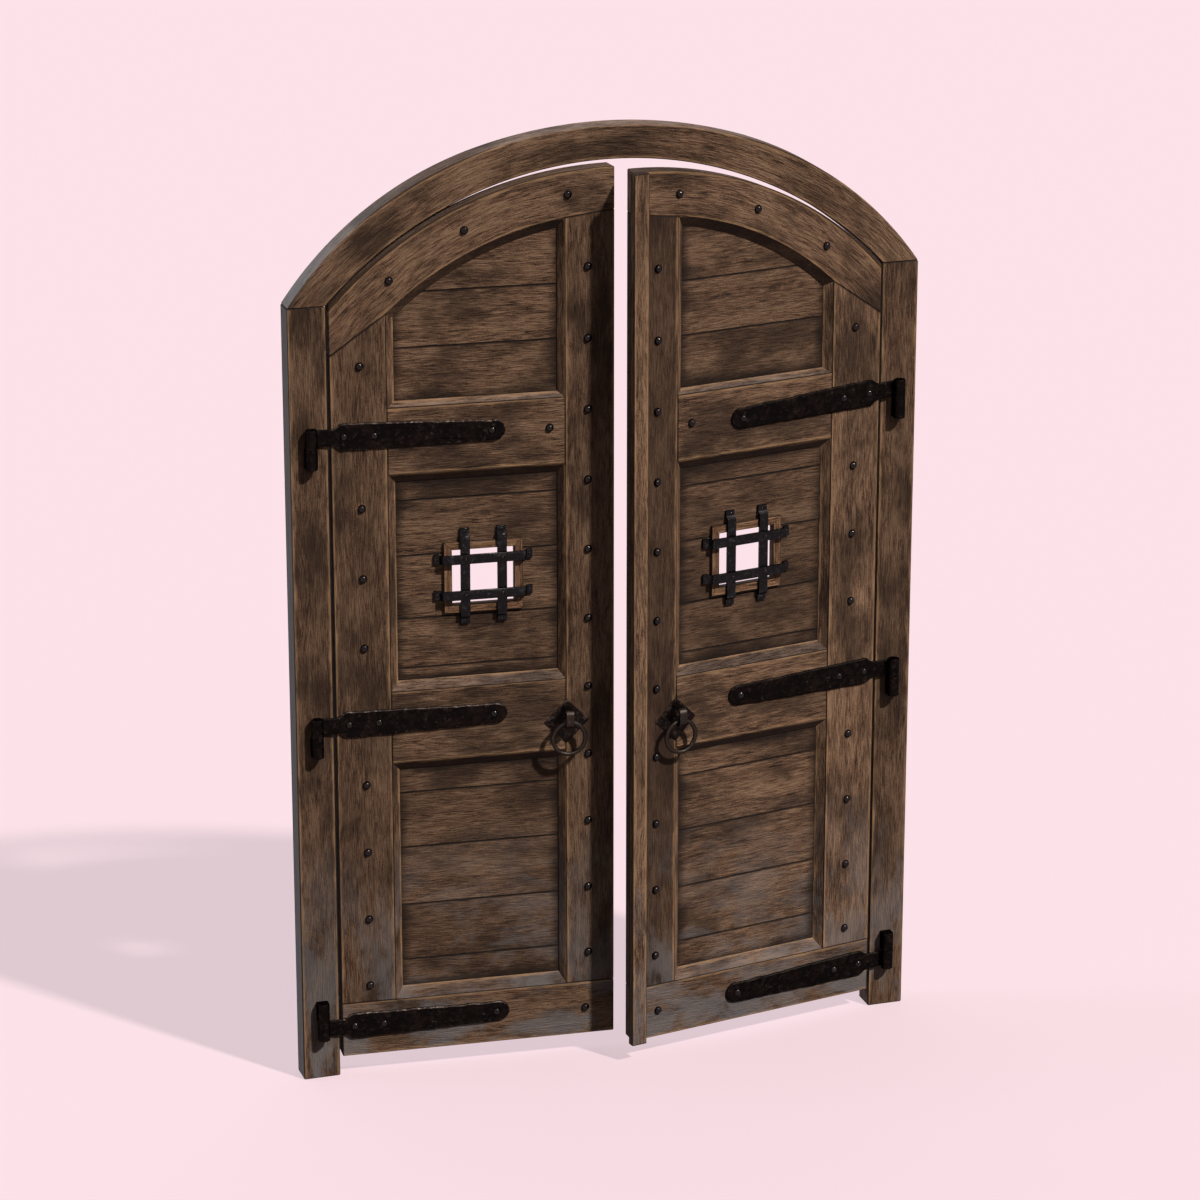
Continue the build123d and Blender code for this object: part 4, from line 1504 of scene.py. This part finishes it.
    def panels(self) -> None:
        """Boards and mouldings of the three panels."""
        hinge, meeting, head = self.insets
        for panel, foot in self.foot_insets.items():
            mouldings = local_mesh(self.node(f"{panel}_mouldings"), self.stance)
            low, high = extent([v.co for v in mouldings.verts])
            sight = (
                (low.x + hinge + high.x - meeting) / 2, (low.z + foot + high.z - head) / 2,
                (high.x - meeting - low.x - hinge) / 2, (high.z - head - low.z - foot) / 2,
            )
            boards = local_mesh(self.node(f"{panel}_boards"), self.stance)
            lay = Lay(Grain.LEVEL, self.shades[panel], panel=sight)
            self.timber(f"{panel}_boards", boards, lay, BOARD_OAK, "board_oak")
            lay = Lay(Grain.LEVEL, self.shades[panel])
            self.timber(f"{panel}_mouldings", mouldings, lay, MOULDING_OAK, "moulding_oak")

    def window(self) -> None:
        """Wooden trim and iron bars of the window."""
        bm = local_mesh(self.node("window_trim"), self.stance)
        soften(bm, self.trim_arris)
        self.timber("window_trim", bm, Lay(Grain.LEVEL, shade=0.1), TRIM_OAK, "trim_oak")
        for part in ("grille_uprights", "grille_crossbars"):
            bm = local_mesh(self.node(part), self.stance)
            soften(bm, self.bar_arris, skip_loops=self.rivet_hole)
            self.iron(part, bm, BAR_IRON)

    def ironwork(self) -> None:
        """Strap hinges, ring plate and staple; straps' and plate's arrises worn, with painted highlight.
        """
        irons = {
            "top_strap": FORGED_IRON, "middle_strap": FORGED_IRON, "bottom_strap": FORGED_IRON,
            "ring_plate": PLATE_IRON, "ring_staple": HANDLED_IRON,
        }
        least, most = self.highlight_slopes
        for part, iron in irons.items():
            bm = local_mesh(self.node(part), self.stance)
            bm.normal_update()
            # Forward-facing arrises of straps and plate: worn iron with a painted highlight.
            for face in bm.faces:
                rim = least < -face.normal.y < most and face.calc_center_median().x > self.highlight_start
                face.material_index = int(rim and part != "ring_staple")
            if "strap" in part:
                self.hammering.work(bm)
                # The neck stands clear of the post behind it.
                for vert in bm.verts:
                    if vert.co.x < 0:
                        vert.co.y = min(vert.co.y, -self.neck_clear)
            self.iron(part, bm, iron, WORN_AND_HIGHLIT_IRON)

    def nails(self) -> None:
        """Dome studs and rivets."""
        for head in NAIL_HEADS:
            solids = local_mesh(self.node(head.part), self.stance)
            bm = head.forge(solids, random.Random(f"{self.name}_{head.part}"))
            solids.free()
            self.iron(head.part, bm, NAIL_IRON, slot="nail_iron")


@dataclass
class CoverStrip:
    """Oak strip on the right leaf's meeting edge, which laps the other leaf."""

    shop: Shop
    stance: Stance
    arris: float = 0.0035
    steepest: float = 50.0

    def build(self) -> None:
        """Make and dress the strip."""
        node = "right_leaf_cover_strip"
        bm = local_mesh(node, self.stance)
        soften(bm, self.arris, steepest=self.steepest)
        lay = Lay(Grain.UPRIGHT, shade=0.0)
        self.shop.timber("cover_strip_oak", bm, self.stance, "leaf_oak", node, [STRIP_OAK], lay)


@dataclass
class RingHandle:
    """A forged ring that hangs in its staple, its wire hammered slightly uneven.

    The deepest dent takes the share dent of the wire's radius. Larger dents_round and
    dents_across put more dents round the ring and across its wire. Sizes are in metres.
    """

    shop: Shop
    name: str
    stance: Stance
    wire: float = 0.007
    around: int = 72
    sides: int = 14
    dent: float = 0.06
    dents_round: float = 3.0
    dents_across: float = 1.5

    def build(self) -> None:
        """Make and dress the ring."""
        mesh = frame["nodes"][f"{self.name}_ring"].data
        low, high = extent([self.stance.local(v.co) for v in mesh.vertices])
        centre = (low + high) / 2
        radius = (high.z - low.z) / 2 - self.wire
        bm = bmesh.new()
        rings = []
        for i in range(self.around):
            turn = math.tau * i / self.around
            out = Vector((math.cos(turn), 0, math.sin(turn)))
            ring = []
            for j in range(self.sides):
                roll = math.tau * j / self.sides
                round_wire = self.dents_across * math.cos(roll)
                place = Vector((self.dents_round * out.x, self.dents_round * out.z, round_wire))
                wire = self.wire * (1 - self.dent * (0.5 + 0.5 * noise.noise(place)))
                side = Vector((0, wire * math.sin(roll), 0))
                ring.append(bm.verts.new(centre + out * (radius + wire * math.cos(roll)) + side))
            rings.append(ring)
        for one, two in zip(rings, rings[1:] + rings[:1]):
            for j in range(self.sides):
                k = (j + 1) % self.sides
                bm.faces.new((one[j], one[k], two[k], two[j]))
        ring_name = f"{self.name}_ring"
        stance = replace(self.stance, body=ring_name)
        self.shop.stand(f"{ring_name}_iron", bm, stance, "forged_iron", ring_name, [HANDLED_IRON])


@dataclass(frozen=True)
class Lamp:
    """A distant lamp.

    Azimuth counts from straight ahead of the door towards the right, softness is its apparent
    width, all in degrees, and strength is in W/m2.
    """

    name: str
    azimuth: float
    elevation: float
    strength: float
    softness: float
    colour: str

    def build(self) -> None:
        """Hang the lamp."""
        lamp = bpy.data.lights.new(self.name, "SUN")
        lamp.energy = self.strength
        lamp.angle = math.radians(self.softness)
        lamp.color = linear(self.colour)[:3]
        stand = put(self.name, lamp)
        turn, rise = math.radians(self.azimuth), math.radians(self.elevation)
        ahead = math.cos(rise)
        towards = Vector((math.sin(turn) * ahead, -math.cos(turn) * ahead, math.sin(rise)))
        stand.rotation_euler = towards.to_track_quat("Z", "Y").to_euler()
        LOG.info("%s lamp: %.1f W/m2", self.name, self.strength)


@dataclass
class Studio:
    """Pale floor, a soft key lamp from the right, a weak cool one from the left, and even fill.

    The fill grows to back_fill where the direction has the parts of backwards in it that back
    says, where 1 is straight behind the door.
    """

    shop: Shop
    lamps: tuple[Lamp, ...] = (
        Lamp("key", azimuth=35.0, elevation=47.0, strength=4.4, softness=3.0, colour="#fff6ec"),
        Lamp("rim", azimuth=-108.0, elevation=25.0, strength=1.1, softness=20.0, colour="#dfeafd"),
    )
    fill: float = 0.2
    back_fill: float = 1.5
    back: Span = Span(0.1, 0.9)
    shown: str = "#fde1e8"
    floor_half: float = 60.0

    def build(self) -> None:
        """Make the floor and the lights."""
        self.floor()
        for lamp in self.lamps:
            lamp.build()
        self.surroundings()
        bpy.context.scene.view_settings.view_transform = "Standard"
        LOG.info("studio: fill %.2f, from behind %.2f", self.fill, self.back_fill)

    def floor(self) -> None:
        """The plain floor, which keeps the shadow."""
        mesh = bpy.data.meshes.new("floor")
        half = self.floor_half
        corners = [(-half, -half, 0), (half, -half, 0), (half, half, 0), (-half, half, 0)]
        mesh.from_pydata(corners, [], [(0, 1, 2, 3)])
        mesh.materials.append(self.shop.finish(StudioFinish()))
        put("floor", mesh)

    def surroundings(self) -> None:
        """Even light from all sides; a wide pale wall behind the door lights its back softly."""
        world = bpy.data.worlds.new("studio")
        bpy.context.scene.world = world
        world.use_nodes = True
        tree = world.node_tree
        tree.nodes.clear()
        way = add(tree, "SeparateXYZ", (add(tree, "TexCoord").outputs["Generated"],)).outputs[1]
        level = add(tree, "MapRange", self.back.of(way, self.fill, self.back_fill))
        fill = add(tree, "Background", {"Color": linear("#ffffff"), "Strength": level})
        shown = add(tree, "Background", {"Color": linear(self.shown), "Strength": 1.0})
        mixed = add(tree, "MixShader", (looking_rays(tree), fill, shown))
        add(tree, "OutputWorld", (mixed,))


@dataclass
class Viewpoint:
    """The camera, where it stood for the door's picture."""

    position: tuple[float, float, float] = (-3.8492, -11.8086, 5.5112)
    yaw: float = 17.923
    pitch: float = 18.128
    focal_pixels: float = 4329.6
    picture_pixels: int = 1200
    sensor: float = 36.0
    far_end: float = 200.0

    def build(self) -> None:
        """Make the camera and give it to the scene."""
        lens = bpy.data.cameras.new("viewpoint")
        lens.sensor_width = self.sensor
        lens.lens = self.focal_pixels / self.picture_pixels * self.sensor
        lens.clip_end = self.far_end
        camera = put("viewpoint", lens)
        yaw, pitch = math.radians(self.yaw), math.radians(self.pitch)
        level = math.cos(pitch)
        ahead = Vector((math.sin(yaw) * level, math.cos(yaw) * level, -math.sin(pitch)))
        camera.location = self.position
        camera.rotation_euler = (-ahead).to_track_quat("Z", "Y").to_euler()
        bpy.context.scene.camera = camera
        LOG.info("viewpoint: lens %.1f mm", lens.lens)


def main() -> None:
    """Build every piece in order."""
    logging.basicConfig(level=logging.INFO, format="%(name)s %(message)s")
    shop = Shop()
    DoorFrame(shop, Stance("frame")).build()
    stances = {name: Stance.of_leaf(name, side) for name, side in SIDES.items()}
    for name, stance in stances.items():
        DoorLeaf(shop, name, stance, SHADES[name]).build()
        RingHandle(shop, name, stance).build()
    CoverStrip(shop, stances["right"]).build()
    Studio(shop).build()
    Viewpoint().build()


if __name__ == "__main__":
    main()
